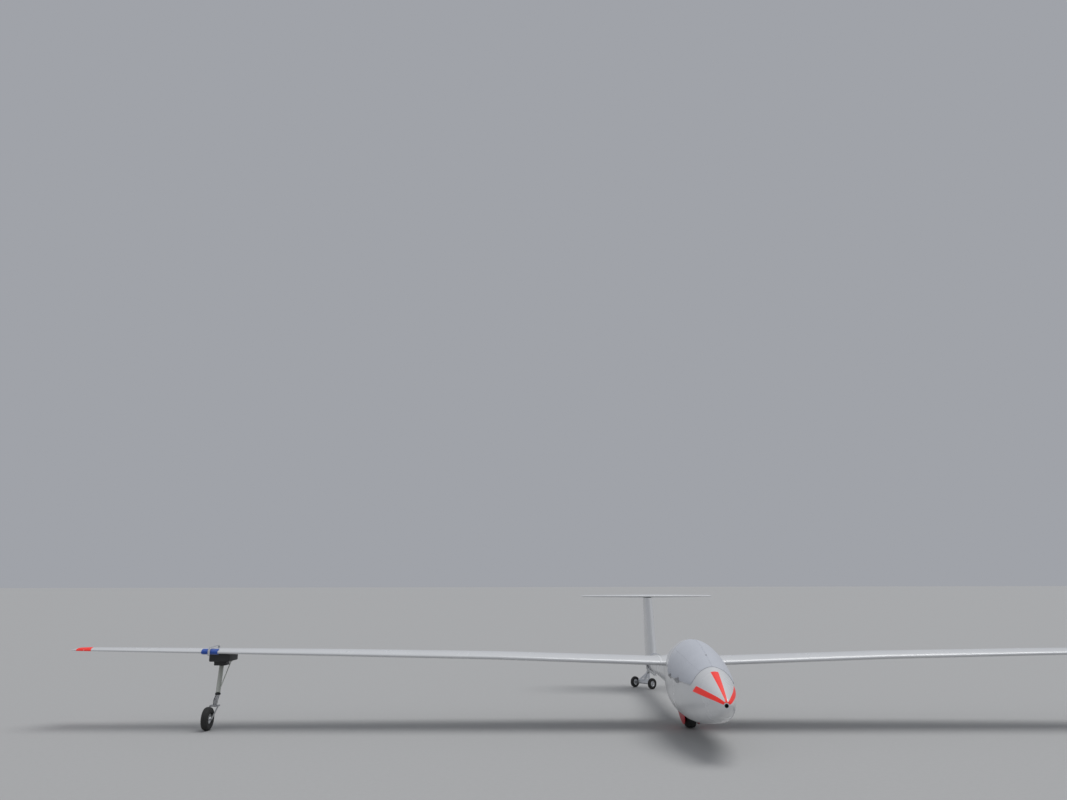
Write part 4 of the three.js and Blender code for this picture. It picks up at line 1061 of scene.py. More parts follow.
# Each side stripe's edges: height at the nose, and rise for each root of a millimetre aft
STRIPES = dict(start=0.6, high_end=524, low_end=590, low=(538, 2.27), high=(555, 4.2), width=20, spread=58)
TIP_BAND_TAPER = 0.25


def nose_stripes():
    """Three bright foils that widen aft from the nose: on top and along both sides."""
    made, top, side = [], [], []
    st = STRIPES
    for i in range(49):
        far, low_far = [st["start"] + (end - st["start"]) * (i / 48) ** 2
                        for end in (st["high_end"], st["low_end"])]
        width = st["width"] + st["spread"] * far / st["high_end"]
        top.append([(far, angle_at_width(far, width * (c / 8 - 0.5))) for c in range(9)])
        low, high = [base + rise * sqrt(s) for (base, rise), s in ((st["low"], low_far), (st["high"], far))]
        row = [(low_far + (far - low_far) * c / 8, low + (high - low) * c / 8) for c in range(9)]
        side.append([(s, angle_at_height(s, z)) for s, z in row])
    far_side = [[(s, pi - angle) for s, angle in row] for row in side]
    for label, grid in (("top", top), ("left", side), ("right", far_side)):
        outer, inner = [[[hull_point(s, angle, grow) for s, angle in row] for row in grid]
                        for grow in (0.45, -1.5)]
        made.append(plate(f"stripe_{label}", outer, inner))
    return finished(merged("nose_stripes", *made), "airframe", glowing_red_foil, angle=35)


def tip_band(side, label):
    """A bright foil round the wing near its tip, narrower towards the trailing edge."""
    inner_end, outer_end, steps = 7212, 7406, 12

    def ring(i, grow):
        points = []
        for k, (u, _) in enumerate(aerofoil(WING[3][4], CAMBER)):
            start = inner_end + TIP_BAND_TAPER * u * WING[3][2]
            points.append(wing_ring(wing_row(start + (outer_end - start) * i / steps), side, grow)[k])
        return points

    outer, inner = [[ring(i, grow) for i in range(steps + 1)] for grow in (0.45, -1.5)]
    band = plate(f"tip_band_{label}", outer, inner)
    finished(band, "airframe", glowing_red_foil, angle=35)


def root_tape(side, label):
    """White tape over the joint between wing and fuselage."""
    rows = [(x, *WING[0][1:]) for x in (323, 333.9)] + [wing_row(345)]
    outer, inner = [[wing_ring(row, side, grow) for row in rows] for grow in (1.3, -1.5)]
    band = plate(f"root_tape_{label}", outer, inner)
    finished(band, "airframe", tape, angle=35)


def nose_inlet():
    """The lining of the air inlet in the nose, with its rolled lip and a plain disc that closes it at the
    back.
    """
    profile = [(19.9, 2.4), (19.9, 0.5), (18.9, 0.1), (17.6, 1.2), (17.2, 60), (19.9, 60)]
    lining = spin("nose_inlet", profile, (0, 0, 530), (0, 1, 0), 48, closed=True)
    back = spin("back", [(0.5, 54), (17.4, 54), (17.4, 57), (0.5, 57)], (0, 0, 530), (0, 1, 0), 48)
    finished(merged("nose_inlet", lining, back), "airframe", black_plastic, angle=50)


# Canopy cover

COVER = dict(inset=9, rest=1.6, fold=0.42, hem=1.5, notch=30, notch_top=680)


def cover_low(s):
    """Height of the cover's edge at a station, on both sides."""
    start, low, fr, rr, rear = canopy_corners(COVER["inset"])
    if s < start + fr:
        return low + fr * (1 - sqrt(max(s - start, 0) / fr)) ** 2
    p, q, r = rear(low) - rr, rear(low), rear(low + rr)
    if s < p:
        return low
    if s > r:
        return CANOPY["sill"] + (s - rear(CANOPY["sill"])) / CANOPY_LEAN
    a, b = p - 2 * q + r, 2 * (q - p)
    t = (-b + sqrt(b * b - 4 * a * (p - s))) / (2 * a)
    return low + rr * t * t


def cover_end():
    """The station where the rear edges meet on the top line."""
    s = CANOPY["rear_low"]
    while cover_low(s) < section(s)[1] - 0.5:
        s += 0.5
    return s


def cover_sides(s, notched=True):
    """Angles of the cover's two edges at a station, clear of the hinges on the right."""
    low = cover_low(s)
    near = notched and any(abs(s - station) < COVER["notch"] for station in HINGE["stations"])
    high = max(low, COVER["notch_top"]) if near else low
    return angle_at_height(s, low), pi - angle_at_height(s, high)


def cover_fold(s, angle, share):
    """How far the cloth stands off: long pulls towards the hooks and puckers at the hem."""
    pulls = sin(s / 61 + 2.2 * cos(angle)) * sin(s / 173 - 1.7 * angle)
    drag = sin(s / 27 + 5 * angle) * 0.35
    edge = min(share, 1 - share)
    pucker = math.exp(-edge / 0.045) * sin(s / 5.2) * 0.8
    return COVER["rest"] + COVER["fold"] * (pulls + drag + pucker)


def cover_line(share, s_from, s_to, grow, steps=120):
    """A line on the cover at a share of its way round, for seams, hems and stitches."""
    points = []
    for i in range(steps + 1):
        s = s_from + (s_to - s_from) * i / steps
        a, b = cover_sides(s, share > 0.9)
        angle = a + (b - a) * share
        points.append(hull_point(s, angle, cover_fold(s, angle, share) + grow))
    return points


def cover_stations(start, end):
    """Stations of the cloth's rows, closer together at its ends and round the notches."""
    stations = [start + (end - start) * (i / 150) for i in range(150)]
    stations += [start + d for d in (1.5, 3.5, 13, 20, 28)] + [end - d for d in (1, 2, 4)]
    for station in HINGE["stations"]:
        stations += [station + way * (COVER["notch"] + d) for way in (-1, 1) for d in (-0.2, 0.2)]
    return sorted(stations) + [end]


def cover_grids(stations):
    """The cloth's outer and inner faces, and its places when it lies flat, in metres."""
    columns, outer, inner, uv, run = 88, [], [], [], 0.0
    for s in stations:
        a, b = cover_sides(s)
        angles = [a + (b - a) * c / columns for c in range(columns + 1)]
        lifts = [cover_fold(s, angle, c / columns) for c, angle in enumerate(angles)]
        row = [Vector(hull_point(s, angle, lift + 0.5)) for angle, lift in zip(angles, lifts)]
        if outer:
            run += (row[columns // 2] - outer[-1][columns // 2]).length
        girth = [0.0]
        for p, q in zip(row, row[1:]):
            girth.append(girth[-1] + (q - p).length)
        outer.append(row)
        inner.append([hull_point(s, angle, lift - 0.5) for angle, lift in zip(angles, lifts)])
        uv.append([((g - girth[-1] / 2) * MM, run * MM) for g in girth])
    return outer, inner, uv


def cover_hem(start, end):
    """The rolled hem round the whole cloth."""
    line = cover_line(0, start + 0.5, end - 2, 0, 200) + cover_line(1, end - 2, start + 0.5, 0, 200)
    left, right = cover_sides(start)
    for i in range(1, 40):
        angle = right + (left - right) * i / 40
        line.append(hull_point(start, angle, cover_fold(start, angle, 0.5)))
    hem = path_mesh("cover_hem", line, closed=True)
    hem_bead.run(hem, Thick=COVER["hem"] * MM)
    return finished(hem, "canopy", hem_cloth, angle=60)


def cover_stitches(start, end):
    """Rows of stitches by the hem, beside the middle seam and down both flanks."""
    threads = []
    for share in (0.02, 0.98, 0.492, 0.508, 0.25, 0.75):
        line = path_mesh("thread", cover_line(share, start + 12, end - 40, 0.6))
        threads.append(seam_stitches.run(line, Pitch=0.0065, Length=0.0046, Thick=0.0005))
    finished(merged("cover_stitches", *threads), "canopy", thread, angle=35)


def cover_eyelet():
    place = hull_point(940, pi / 2, COVER["rest"] + 0.4)
    profile = [(5, 0), (9.5, 0), (9.8, 0.6), (8.4, 1.2), (5.6, 1.2), (4.8, 0.6)]
    ring = spin("cover_eyelet", profile, place, (0, -0.24, 0.97), 32, closed=True)
    finished(ring, "canopy", black_plastic, angle=50)


def canopy_cover():
    """The fitted cloth over the canopy, with its hem, stitches and eyelet."""
    start, end = CANOPY["front"] + COVER["inset"], cover_end()
    outer, inner, uv = cover_grids(cover_stations(start, end))
    cover = plate("canopy_cover_cloth", outer, inner, uv)
    across, along = max(row[-1][0] - row[0][0] for row in uv), uv[-1][0][1]
    area = sum(face.area for face in cover.data.polygons) / 2
    hem = cover_hem(start, end)
    cover_stitches(start, end)
    finished(cover, "canopy", cover_cloth, "canopy_cover", angle=70)
    cover_eyelet()


# Soft parts

def pushed(name, low, high, half):
    """A closed pad between a low line and a high line of (station, height), from -half to half."""
    steps = 20
    across = [-half + 2 * half * i / steps for i in range(steps + 1)]
    outer, inner = [[[(x, s, z) for s, z in line] for x in across] for line in (high, low)]
    return plate(name, outer, inner)


def stuffed(piece, swell, guard=None, voxel=5.5, calm=10):
    """Blows a closed form up like a filled cover. A guard keeps its points off what carries it."""
    pressure, last_frame = 4.0, 20
    even = piece.modifiers.new("even", "REMESH")
    even.mode = "VOXEL"
    even.voxel_size = voxel * MM
    soft = piece.modifiers.new("soft", "SMOOTH")
    soft.iterations = calm
    settle(piece)
    cloth = piece.modifiers.new("stuffing", "CLOTH")
    cloth.settings.use_pressure = True
    cloth.settings.uniform_pressure_force = pressure
    cloth.settings.effector_weights.gravity = 0
    for frame_number in range(1, last_frame + 1):
        bpy.context.scene.frame_set(frame_number)
    view = bpy.context.evaluated_depsgraph_get()
    blown = [v.co.copy() for v in piece.evaluated_get(view).data.vertices]
    piece.modifiers.clear()
    bpy.context.scene.frame_set(1)
    for vertex, target in zip(piece.data.vertices, blown):
        move = target - vertex.co
        if move.length > swell * MM:
            move *= swell * MM / move.length
        vertex.co += move
    if guard:
        for vertex in piece.data.vertices:
            vertex.co = guard(vertex.co)
    return piece


def subdivided(piece):
    step = piece.modifiers.new("soft", "SUBSURF")
    step.levels = step.render_levels = 1
    return settle(piece)


def local(point):
    """A place in metres as (x, station, z) in millimetres."""
    return point.x / MM, point.y / MM + LENGTH / 2, point.z / MM


SEAT_LINE = [(962, 408), (975, 385), (1000, 362), (1035, 348), (1070, 345), (1330, 345), (1372, 352),
             (1408, 375), (1440, 410), (1700, 850)]


def seat_place(run, lift):
    """A point at a length along the seat's line and a height off it, as (station, height)."""
    for (s0, z0), (s1, z1) in zip(SEAT_LINE, SEAT_LINE[1:]):
        length = math.hypot(s1 - s0, z1 - z0)
        if run <= length or (s1, z1) == SEAT_LINE[-1]:
            t = run / length
            return (s0 + (s1 - s0) * t - lift * (z1 - z0) / length,
                    z0 + (z1 - z0) * t + lift * (s1 - s0) / length)
        run -= length


def seat_guard(point):
    """Keeps a point at least a hair off the seat pan."""
    x, s, z = local(point)
    best = None
    for (s0, z0), (s1, z1) in zip(SEAT_LINE, SEAT_LINE[1:]):
        ds, dz = s1 - s0, z1 - z0
        length = math.hypot(ds, dz)
        t = min(max(((s - s0) * ds + (z - z0) * dz) / length**2, 0), 1)
        gap = math.hypot(s - s0 - ds * t, z - z0 - dz * t)
        if best is None or gap < best[0]:
            off = ((z - z0) * ds - (s - s0) * dz) / length
            best = (gap, off, ds / length, dz / length)
    _, off, ds, dz = best
    push = max(0.8 - off, 0)
    return placed(x, s - dz * push, z + ds * push)


def channels(piece):
    """Presses sewn channels along a pad, on both sides of its middle."""
    pitch, depth, width = 63, 4, 7
    normals = [v.normal.copy() for v in piece.data.vertices]
    for vertex, normal in zip(piece.data.vertices, normals):
        value = local(vertex.co)[0] / pitch + 0.5
        off = abs(value - round(value)) * pitch
        vertex.co -= normal * (depth * MM * math.exp(-(off / width) ** 2))


# Cushions: where each starts and ends along the seat's line, half width, lift of both faces
CUSHIONS = [("seat_cushion", 95, 465, 190, 5, 24), ("back_cushion_low", 505, 745, 175, 5, 28),
            ("back_cushion_high", 757, 985, 165, 5, 28)]


def seat_pads():
    """Cushions in the pan and up the back rest, with the head pad."""
    for name, start, end, half, low, high in CUSHIONS:
        runs = [start + (end - start) * i / 24 for i in range(25)]
        under, over = [[seat_place(run, lift) for run in runs] for lift in (low, high)]
        pad = stuffed(pushed(name, under, over, half), 9, seat_guard)
        channels(pad)
        subdivided(pad)
        for vertex in pad.data.vertices:
            vertex.co = seat_guard(vertex.co)
        finished(pad, "airframe", seat_cloth, angle=80)
    rest = [(1640, 870), (1662, 862), (1725, 985), (1698, 996)]
    under, over = [[(a[0] + (b[0] - a[0]) * i / 16, a[1] + (b[1] - a[1]) * i / 16) for i in range(17)]
                   for a, b in ((rest[1], rest[2]), (rest[0], rest[3]))]
    head = stuffed(pushed("head_pad", under, over, 88), 4)
    finished(subdivided(head), "airframe", seat_cloth, "headrest", angle=80)
    bracket = round_edges(block("head_bracket", -14, 14, 1716, 1879, 930, 954), 2)
    cut(bracket, side_solid("pad", rest, -120, 120))
    finished(bracket, "airframe", black_plastic)


def harness():
    """Four straps that meet in a round buckle over the seat."""
    hub_s, hub_z = seat_place(330, 40)
    up = Vector((0, -0.25, 1))
    straps = []
    for side in (-1, 1):
        lap = [(side * 226, *seat_place(500, 14)), (side * 196, *seat_place(470, 34)),
               (side * 130, *seat_place(400, 40)), (side * 30, hub_s + 4, hub_z - 3)]
        ways = [(side * 0.7, -0.3, 0.6), (side * 0.3, -0.4, 0.9), (0, -0.2, 1), up]
        straps.append(ribbon("lap", lap, ways, 44, 2))
        off = [(1010, 12), (980, 40), (900, 42), (780, 42), (640, 44), (520, 52), (430, 46)]
        chest = [(side * (96 if run > 600 else 74 if run > 480 else 48), *seat_place(run, lift))
                 for run, lift in off] + [(side * 12, hub_s + 26, hub_z - 1)]
        over = [(0, -0.9, 0.5)] * 5 + [(0, -0.7, 0.8), (0, -0.3, 1), up]
        straps.append(ribbon("chest", chest, over, 44, 2))
    finished(merged("harness_straps", *straps), "airframe", strap_web, angle=50)
    centre = (0, hub_s, hub_z - 4)
    buckle = spin("harness_buckle", [(1, 0), (30, 0), (32, 3), (31, 12), (24, 16), (10, 17), (1, 17)],
                  centre, (0, -0.25, 1), 48)
    bar = block("bar", -20, 20, hub_s - 5, hub_s + 5, hub_z + 10, hub_z + 19)
    finished(merged("harness_buckle", round_edges(buckle, 0.8), round_edges(bar, 2)),
             "airframe", steel)


# Instruments and controls

PANEL = dict(front=815, rear=905, low=430, high=800, half=130, stem=60, lean=40, brow=10)
# Dials: place across, height up the face, width
DIALS = [(-62, 290, 80), (62, 290, 80), (-84, 200, 57), (0, 200, 57), (84, 200, 57), (-84, 130, 57)]


def face_slope():
    """How far a millimetre up the instrument face goes aft and up."""
    rise = PANEL["high"] - PANEL["brow"] - PANEL["low"]
    run = math.hypot(PANEL["lean"], rise)
    return PANEL["lean"] / run, rise / run


def face_out():
    """The way that the instrument face looks."""
    aft, up = face_slope()
    return Vector((0, up, -aft))


def on_panel(x, h, lift=0.0):
    """A point on the instrument face: across, up the face, and proud of it."""
    aft, up = face_slope()
    return (x, PANEL["rear"] - PANEL["lean"] + aft * h + up * lift, PANEL["low"] + up * h - aft * lift)


def face_frame(x, h, lift):
    """The matrix that lays a flat drawing, in metres, on the instrument face, seen from aft."""
    up, out = Vector((0, *face_slope())), face_out()
    turn = Matrix((up.cross(out), up, out)).transposed().to_4x4()
    return Matrix.Translation(placed(*on_panel(x, h, lift))) @ turn


def numerals(x, h, radius, count, size):
    """Plain numbers round a dial."""
    made = []
    for i in range(count):
        curve = bpy.data.curves.new("numeral", "FONT")
        curve.body = str(i)
        curve.size = size * MM
        curve.align_x, curve.align_y = "CENTER", "CENTER"
        curve.extrude = 0.0002
        text = link("numeral", curve)
        view = bpy.context.evaluated_depsgraph_get()
        mesh = bpy.data.meshes.new_from_object(text.evaluated_get(view))
        bpy.data.objects.remove(text)
        angle = pi / 2 - tau * i / count
        mesh.transform(Matrix.Translation((radius * MM * cos(angle), radius * MM * sin(angle), 0)))
        mesh.transform(face_frame(x, h, 1.3))
        made.append(link("numeral", mesh))
    return made


def pointer(x, h, length):
    """A dial's pointer, turned by where the dial stands."""
    wide, tail, thick = 0.0011, -0.006, 0.0006
    mesh = bpy.data.meshes.new("pointer")
    corners = [(-wide, tail), (wide, tail), (0, length)]
    mesh.from_pydata([(*corner, level) for corner in corners for level in (0, thick)], [],
                     [(0, 2, 4), (1, 5, 3), (0, 1, 3, 2), (2, 3, 5, 4), (4, 5, 1, 0)])
    mesh.transform(face_frame(x, h, 1.9) @ Matrix.Rotation(radians(130 + 3 * x), 4, "Z"))
    return link("pointer", mesh)


def dial(x, h, size):
    """A round instrument's bezel, face, marks and the places of its four screws."""
    base, out, r = on_panel(x, h), face_out(), size / 2
    large = r > 30
    profile = [(r - 5, 0.2), (r, 0.2), (r, 3.4), (r - 1.5, 4.2), (r - 4, 3.6), (r - 5, 1.4)]
    bezel = spin("bezel", profile, base, out, 48, closed=True)
    face = spin("face", [(0.5, 0.1), (r - 4.6, 0.1), (r - 4.6, 1.1), (0.5, 1.1)], base, out, 48)
    ring = path_mesh("ticks", [(0, 0, 0)])
    dial_ticks.run(ring, Count=40, Radius=(r - 9) * MM, Length=0.0032 if large else 0.0024, Thick=0.0006)
    ring.data.transform(face_frame(x, h, 1.3))
    boss = spin("boss", [(0.3, 1.1), (3.2, 1.1), (3.0, 2.9), (0.3, 3.1)], base, out, 20)
    marks = [ring, pointer(x, h, (r - 12) * MM), boss]
    if large:
        marks += numerals(x, h, r - 17, 10, 8)
    off = 0.9 * (r - 1)
    screws = [(on_panel(x + dx, h + dh, 1.6), out) for dh in (off, -off) for dx in (-off, off)]
    return bezel, face, marks, screws


def instrument_pod():
    """The panel's hood on its column."""
    p = PANEL
    front, rear, low, high = p["front"], p["rear"], p["low"], p["high"]
    outline = bend((front, high), (front - 60, high - 60), (front - 20, low + 60), 8, 0)
    outline += [(front + 20, low), (rear - p["lean"], low), (rear, high - p["brow"])]
    pod = round_edges(side_solid("instrument_pod", outline, -p["half"], p["half"]), 9, 4, 30)
    column = block("column", -p["stem"], p["stem"], front, rear - 45, 262, low + 40)
    join(pod, round_edges(column, 6, 3))
    keep(pod, cabin_room())
    finished(pod, "airframe", crackle, "instrument_panel")


def instruments():
    instrument_pod()
    bezels, faces, marks, spots = [], [], [], []
    for row in DIALS:
        bezel, face, signs, screws = dial(*row)
        bezels.append(bezel)
        faces.append(face)
        marks += signs
        spots += screws
    finished(merged("dial_bezels", *bezels), "airframe", black_plastic)
    finished(merged("dial_faces", *faces), "airframe", dial_black)
    finished(merged("dial_marks", *marks), "airframe", chalk)
    spots += [(on_panel(x, h, 0.8), face_out()) for x in (-118, 118) for h in (18, 190, 345)]
    studs("panel_screws", spots, 2.6, 1.8, "airframe", screw_heads)
    radio_and_switches()


def radio_and_switches():
    """A radio with its window and knobs, and a row of switches under it."""
    def slab(x0, x1, h0, h1, lift0, lift1):
        corners = [(x0, h0), (x1, h0), (x1, h1), (x0, h1)]
        return loft("slab", [[on_panel(x, h, lift) for x, h in corners] for lift in (lift0, lift1)])

    out = face_out()
    body = round_edges(slab(-36, 118, 100, 150, 0.2, 7), 2.5)
    profile = [(0.5, 7), (8, 7), (8, 9), (6.6, 10), (6.2, 19), (0.5, 19.6)]
    knobs = [spin("knob", profile, on_panel(x, 125), out, 24) for x in (-22, 104)]
    switches = []
    for x in (-60, -30, 0, 30, 60):
        tip = on_panel(x, 65 if x % 60 else 55, 14)
        switches.append(spin("nut", [(0.5, 0.2), (6, 0.2), (6, 2.4), (0.5, 2.4)], on_panel(x, 60), out, 6))
        switches.append(rod("lever", on_panel(x, 60, 2), tip, 1.7, 2.4, 12))
    finished(merged("radio", body, *knobs), "airframe", black_plastic)
    finished(merged("switches", *switches), "airframe", steel)
    window = round_edges(slab(-8, 60, 112, 138, 7.05, 7.9), 0.6)
    finished(window, "airframe", display)


def control_stick():
    """A moulded grip with its button, on a pleated boot."""
    foot, s = 345 + SEAT_GAP, 1130
    grip = [(0.6, 250), (8, 249), (15, 240), (17.5, 222), (15.5, 205), (16.8, 190), (14.6, 172), (14.5, 163),
            (9, 158), (8.5, 60)]
    boot = [(9 + 27 * (1 - i / 11) + (2.2 if i % 2 else -1.5), 4 + 4.6 * i) for i in range(11, -1, -1)]
    profile = grip + boot + [(38, 1), (38, 0), (0.6, 0)]
    stick = spin("control_stick_grip", profile[::-1], (0, s, foot), (0, 0, 1), 40)
    cap = [(0.4, 246), (5, 246), (5, 253), (3.5, 255), (0.4, 255)]
    button = spin("button", cap, (0, s, foot - 6), (0, 0, 1), 20)
    finished(stick, "airframe", black_plastic, "control_stick", angle=50)
    finished(button, "airframe", red_paint)


def rudder_pedals():
    """Two plates with rubber ribs on a bar across the cabin."""
    plates, ribs, z = [], [], 470
    for x in (-95, 95):
        plates.append(round_edges(block("pedal", x - 33, x + 33, 464, 476, z - 65, z + 65), 3))
        for high in range(z - 48, z + 49, 16):
            ribs.append(round_edges(block("rib", x - 27, x + 27, 475.6, 479.5, high - 2.5, high + 2.5), 1))
    bar = keep(rod("bar", (-300, 470, 440), (300, 470, 440), 12), cabin_room())
    finished(merged("rudder_pedal_plates", bar, *plates), "airframe", aluminium, "rudder_pedals")
    finished(merged("pedal_ribs", *ribs), "airframe", rubber)


# Levers on each side: station of the handle, its rise, half its length and its colour
LEVERS = {1: ((1120, 62, 48, "blue"), (1290, 44, 16, "green")), -1: ((1180, 56, 42, "black"),)}


def levers(side, label):
    """Handles on arms, on a rail that two stays hold."""
    x, z, start, end = 246 * side, 545, 1000, 1400
    rods = [rod("rail", (x, start, z), (x, end, z), 7)]
    rods += [rod("stay", (x, s, z), (side * 400, s, z), 7) for s in (start + 20, end - 20)]
    for s, rise, grip, colour in LEVERS[side]:
        head = (x - side * 22, s, z + rise)
        rods.append(rod("arm", (x, s, z), head, 6))
        profile = [(1, -grip), (9, -grip), (12.6, 5 - grip), (11.4, 0), (12.6, grip - 5), (9, grip),
                   (1, grip)]
        knob = spin(f"{colour}_handle_{label}", profile, head, (0, 1, 0), 32)
        finished(knob, "airframe", knob_paint[colour], angle=50)
    body = keep(join(*rods), cabin_room())
    body.name = f"lever_rail_{label}"
    finished(body, "airframe", aluminium, f"cockpit_levers_{label}")


# Wheels and gear

def wheel(name, centre, radius, width, rim, grooves, body, node, turned=0):
    """A tyre by its rule, set in place and turned with the castor that carries it."""
    ring = path_mesh(name, [(0, 0, 0)])
    tyre_form.run(ring, Radius=radius * MM, Width=width * MM, Rim=rim * MM, Grooves=grooves,
                  Depth=min(radius * 0.02, 2.6) * MM)
    ring.data.transform(Matrix.Translation(placed(*centre)))
    outward(ring.data)
    if turned:
        turn_about(ring, (0, DOLLY["post"], 0), "Z", turned)
    return finished(ring, body, rubber, node)


def hub_form(name, centre, rim, width, bore, reach):
    """A dished rim with rolled edges round a hub barrel."""
    w = width / 2
    half = [(bore, reach), (bore + 8, reach), (bore + 9, reach - 1.5), (bore + 9.5, w * 0.42),
            (bore + 13, w * 0.30), (rim * 0.78, w * 0.22), (rim * 0.86, w * 0.32), (rim * 0.9, w * 0.52),
            (rim - 1.6, w * 0.60), (rim - 0.35, w * 0.56)]
    profile = half + [(r, -x) for r, x in reversed(half)]
    return spin(name, profile, centre, (1, 0, 0), 72, closed=True)


def ring_spots(centre, radius, lift, count):
    """Places and facings of bolts round a wheel's middle, on both sides."""
    x, s, z = centre
    turns = [tau * (i + 0.5) / count for i in range(count)]
    return [((x + side * lift, s + radius * cos(a), z + radius * sin(a)), (side, 0, 0))
            for side in (-1, 1) for a in turns]


def main_wheel():
    g = MAIN_WHEEL
    centre = (0, g["s"], g["radius"])
    wheel("main_tyre", centre, g["radius"], g["width"], g["rim"], 4.0, "main_wheel", "main_wheel_tyre")
    rim = hub_form("main_rim", centre, g["rim"], g["width"], g["bore"], GEAR_LEG["x"] - 8)
    disc = spin("disc", [(40, 30), (61, 30), (61, 33.5), (40, 33.5)], centre, (1, 0, 0), 72, closed=True)
    finished(merged("main_rim", rim, disc), "main_wheel", aluminium, "main_wheel_hub")
    studs("main_rim_bolts", ring_spots(centre, 50, g["width"] * 0.155, 8), 4.5, 5, "main_wheel", hex_heads)


def gear_legs():
    """Two legs with rounded feet from the well's roof to the axle."""
    s, z = MAIN_WHEEL["s"], MAIN_WHEEL["radius"]
    x, thick, half = GEAR_LEG["x"], GEAR_LEG["thick"] / 2, GEAR_LEG["width"] / 2
    knee, roof = 250, WELL["roof"] - SEAT_GAP
    foot = [(s + half * cos(pi + pi * i / 16), z + 30 * sin(pi + pi * i / 16)) for i in range(17)]
    outline = [(s - half, roof), (s - half, knee), *foot, (s + half, knee), (s + half, roof)]
    legs = [side_solid("leg", outline, side * x - thick, side * x + thick) for side in (-1, 1)]
    bar = block("gear_fork", -x, x, s - 20, s + 20, WELL["roof"] - 26, roof)
    pin = rod("axle", (-x - 16, s, z), (x + 16, s, z), MAIN_WHEEL["bore"] - 0.5)
    body = round_edges(join(bar, *legs, pin), 1.5)
    finished(body, "airframe", steel, "main_gear_legs")


def gear_door(side, label):
    """A door with a curved lower edge that hangs open beside the wheel."""
    g = GEAR_DOOR
    f, r, low, d = g["front"], g["rear"], g["low"], g["drop"]
    curves = (((f, low), (f + 10, low - d * 0.8), (f + 120, low - d), (f + 210, low - d)),
              ((f + 210, low - d), (f + 340, low - d), (r - 60, low - d * 0.55), (r, low)))
    outline = [(f, g["top"])]
    for points in curves:
        for i in range(25):
            t = i / 24
            weights = ((1 - t)**3, 3 * t * (1 - t)**2, 3 * t**2 * (1 - t), t**3)
            outline.append(tuple(sum(w * p[k] for w, p in zip(weights, points)) for k in (0, 1)))
    outline.append((r, g["top"]))
    half = g["thick"] / 2
    door = round_edges(side_solid(f"gear_door_panel_{label}", outline, -half, half), 1.5)
    door.data.transform(Matrix.Translation((side * g["x"] * MM, 0, low * MM))
                        @ Matrix.Rotation(radians(side * g["lean"]), 4, "Y")
                        @ Matrix.Translation((0, 0, -low * MM)))
    cut(door, hull("skin", SEAT_GAP, 1500, 2800, 40))
    finished(door, "airframe", red_paint, f"gear_door_{label}")


def tail_wheel():
    t = TAIL_WHEEL
    centre = (0, t["s"], t["z"])
    wheel("tail_tyre", centre, t["radius"], t["width"], t["rim"], 2.0, "tail_wheel", "tail_wheel_tyre")
    rim = hub_form("tail_rim", centre, t["rim"], t["width"], t["bore"] + 0.5, t["width"] / 2 + 4)
    finished(rim, "tail_wheel", aluminium, "tail_wheel_hub")


def tow_hook():
    s, half, low = 1800, 17, 190
    body = round_edges(block("tow_hook_body", -half, half, s - 38, s + 38, low, 300), 1.2)
    cut(body, hull("skin", SEAT_GAP, 1500, 2300, 30))
    cut(body, block("mouth", -7, 7, s - 6, s + 22, low + 6, low + 14))
    finished(body, "airframe", steel, "tow_hook")


def dolly():
    """Two half shells clamped round the boom, a keel plate and a castor with twin wheels."""
    d = DOLLY
    front, rear, post, keel = d["front"], d["rear"], d["post"], d["keel"]
    wide = section((front + rear) / 2)[2]

    def boom():
        return hull("boom", SEAT_GAP, 4900, 6119, 30)

    def shell(low, high):
        ring = cut(hull("ring", d["shell"], front, rear, 12), boom())
        return keep(ring, block("part", -300, 300, front - 40, rear + 40, low, high))

    def lugs(low, high):
        pair = [block("lug", x - 22, x + 22, front + 30, rear - 30, low, high) for x in (-128, 128)]
        return cut(join(*pair), boom())

    outline = [(front + 8, 345), (rear, keel), (post + 40, keel), (post + 40, keel + 30),
               (rear + 40, keel + 30), (rear, 400), (front + 8, 400)]
    web = join(side_solid("web", outline, -11, 11),
               block("pad", -34, 34, post - 68, post + 12, keel + 20, 400),
               block("flange", -22, 22, rear - 6, post + 40, keel, keel + 6))
    cut(web, boom())
    sleeve = rod("sleeve", (0, post, d["deck"]), (0, post, keel + 30), d["post_radius"], sides=40)
    cradle = join(shell(100, wide - 0.2), web, sleeve, lugs(wide - 9, wide - 0.2))
    cradle.name = "dolly_frame"
    finished(round_edges(cradle, 1.2), "airframe", aluminium, "dolly_cradle")
    clamp = join(shell(wide + 0.2, 900), lugs(wide + 0.2, wide + 9))
    clamp.name = "dolly_clamp"
    finished(round_edges(clamp, 1.2), "airframe", gelcoat, "dolly_strap")
    bands = []
    for s in (front + 38, rear - 38):
        outer, inner = [[[hull_point(s + k, tau * i / 96, d["shell"] + g) for k in (-19, 19)]
                         for i in range(97)] for g in (2.6, 0.4)]
        bands.append(plate("band", outer, inner))
    finished(merged("dolly_bands", *bands), "airframe", hem_cloth)
    spots = [((x, s, wide + 9), (0, 0, 1)) for x in (-134, 134) for s in (front + 50, rear - 50)]
    studs("dolly_bolts", spots, 6, 5, "airframe", hex_heads)
    dolly_castor()


